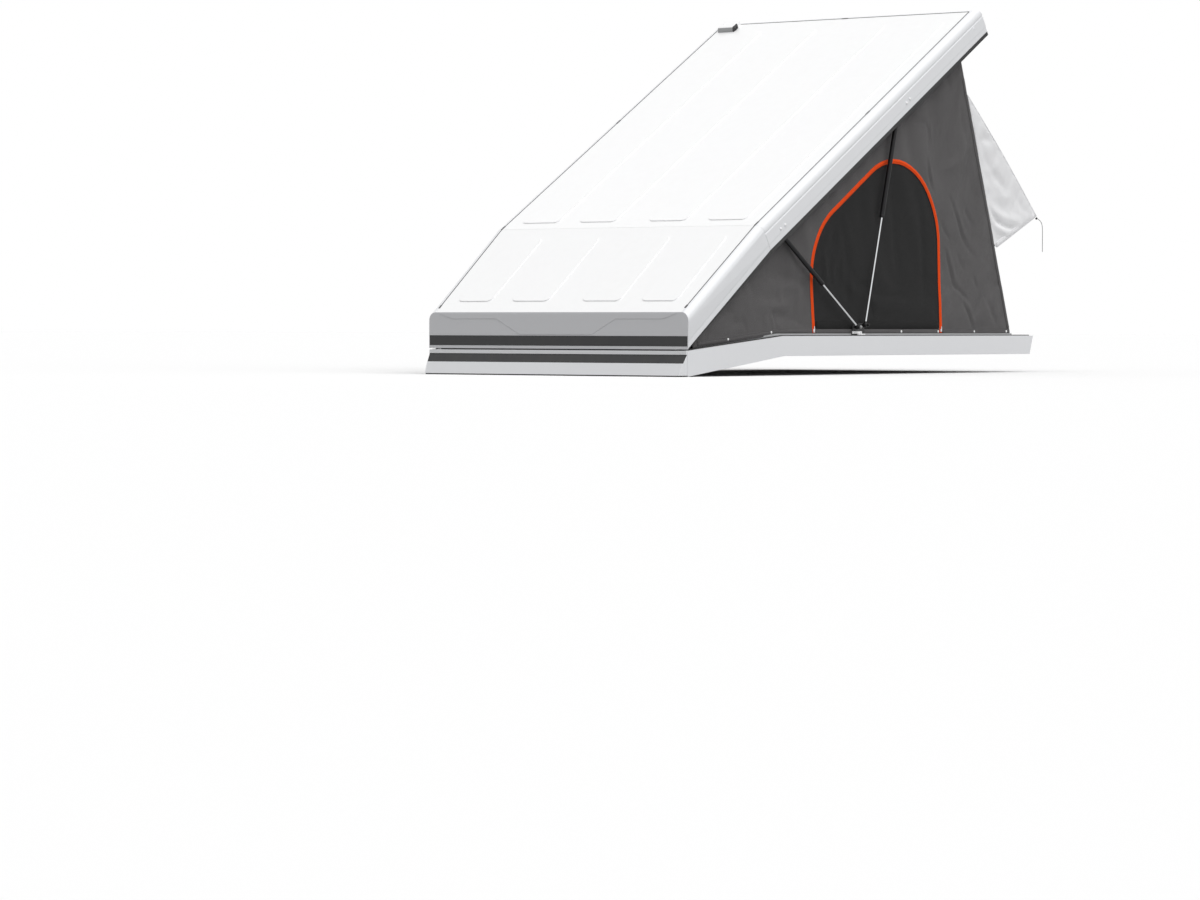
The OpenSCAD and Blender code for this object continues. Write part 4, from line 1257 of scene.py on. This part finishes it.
# Gas struts: lower and upper studs (mm behind and over the hinge pin) and the tube's length
struts = {
    "front": {"foot": (1290, 101), "head": (830, 135), "tube": 440, "nut": "clampGrey"},
    "rear": {"foot": (1350, 110), "head": (1990, 145), "tube": 563, "nut": "tubeBlack"},
}


def makeStrutFittings():
    for end, s in struts.items():
        for hand, side in ((1, "left"), (-1, "right")):
            x = hand * 740
            low = roof(x, hinge["y"] + s["foot"][0], hinge["z"] + s["foot"][1])
            high = onLid(x, *s["head"])
            along = (high - low).normalized()
            out = Vector((hand, 0, 0))
            mouth = high - along * (s["tube"] / 1000)
            socket = revolve([(0.0052, 0.006), (0.0078, 0.008), (0.0078, 0.015), (0.0052, 0.017)],
                             low, along, 20)
            ball = revolve([(0.0108, -0.0085), (0.0118, -0.006), (0.0118, 0.006),
                            (0.0108, 0.0085)], low, out, 24)
            addPiece(f"rodSocket.{end}.{side}", [socket, ball], paint["tubeBlack"],
                     f"rod_{end}_{side}")
            nut = hexHead(low + out * 0.0165, out, 0.0072, 0.005)
            stud = revolve([(0.0038, -0.004), (0.0038, 0.0070), (0.0032, 0.0078)],
                           low + out * 0.0165, out, 14)
            addPiece(f"footNut.{end}.{side}", [nut, stud], paint[s["nut"]], "base")
            collar = revolve([(0.0056, -0.001), (0.0098, -0.001), (0.0108, 0.001), (0.0113, 0.004),
                              (0.0113, 0.012), (0.0109, 0.013)], mouth, along, 24)
            cap = revolve([(0.0109, -0.026), (0.0114, -0.024), (0.0114, -0.018), (0.009, -0.013),
                           (0.006, -0.012)], high, along, 24)
            addPiece(f"tubeCollar.{end}.{side}", [collar, cap], paint["tubeBlack"],
                     f"tube_{end}_{side}")
    lugs = []
    for hand in (1, -1):
        out = Vector((hand, 0, 0))
        for y, z, deep in ((1290, 192.5, 728.3), (1340, 192.5, 728.3), (1330, 182, 732.3),
                           (1362, 182, 732.3)):
            lugs.append(hexHead(roof(hand * deep, y, z), out, 0.0036, 0.0022))
    addPiece("lugScrews", lugs, paint["zincSteel"], "base", False)


makeFixings()
makeSeams()
makeNose()
makeCableCover()
makeStrutFittings()
print("small parts fitted")

stage = {"floor": (0.90, 0.90, 0.90), "floorSeenByCloth": (0.34, 0.34, 0.34), "ambient": 0.35}


def makeStage():
    mesh = bpy.data.meshes.new("studioFloor")
    s = 80
    mesh.from_pydata([(-s, -s, 0), (s, -s, 0), (s, s, 0), (-s, s, 0)], [], [(0, 1, 2, 3)])
    floor = bpy.data.objects.new("studioFloor", mesh)
    scene.collection.objects.link(floor)
    material = bpy.data.materials.new("studioFloor")
    material.use_nodes = True
    tree = material.node_tree
    shader = tree.nodes["Principled BSDF"]
    path = addNode(tree, "ShaderNodeLightPath").outputs
    shown = mathNode(tree, "MAXIMUM", path["Is Camera Ray"],
                     mathNode(tree, "MAXIMUM", path["Is Glossy Ray"], path["Is Transmission Ray"]))
    tone = addNode(tree, "ShaderNodeMix", {"data_type": "RGBA"}, {
        "Factor": shown, 6: (*stage["floorSeenByCloth"], 1), 7: (*stage["floor"], 1)})
    tree.links.new(tone.outputs[2], shader.inputs["Base Color"])
    shader.inputs["Roughness"].default_value = 0.9
    shader.inputs["Specular IOR Level"].default_value = 0.0
    mesh.materials.append(material)

    world = bpy.data.worlds.new("studio")
    world.use_nodes = True
    tree = world.node_tree
    back = tree.nodes["Background"]
    path = addNode(tree, "ShaderNodeLightPath").outputs
    shown = mathNode(tree, "MAXIMUM", path["Is Camera Ray"],
                     mathNode(tree, "MAXIMUM", path["Is Glossy Ray"], path["Is Transmission Ray"]))
    back.inputs["Color"].default_value = (1, 1, 1, 1)
    level = mathNode(tree, "MULTIPLY_ADD", shown, 1 - stage["ambient"], stage["ambient"])
    tree.links.new(level, back.inputs["Strength"])
    scene.world = world


# Soft lamps as wide as a sky light, so that the floor is lit evenly to its far edge
lamps = {
    "overhead": {"from": (0.35, -0.10, 1.0), "level": 0.76, "spread": 75},
    "leftSide": {"from": (1.0, -0.05, 0.30), "level": 0.14, "spread": 60},
}


def makeLamps():
    for name, l in lamps.items():
        data = bpy.data.lights.new(name, "SUN")
        data.angle = math.radians(l["spread"])
        data.energy = l["level"] * math.pi
        lamp = bpy.data.objects.new(name, data)
        scene.collection.objects.link(lamp)
        lamp.rotation_euler = (-Vector(l["from"])).to_track_quat("-Z", "Y").to_euler()
        lamp.location = Vector(l["from"]) * 6


makeStage()
makeLamps()
scene.view_settings.view_transform = "Standard"
print("stage and lamps set")
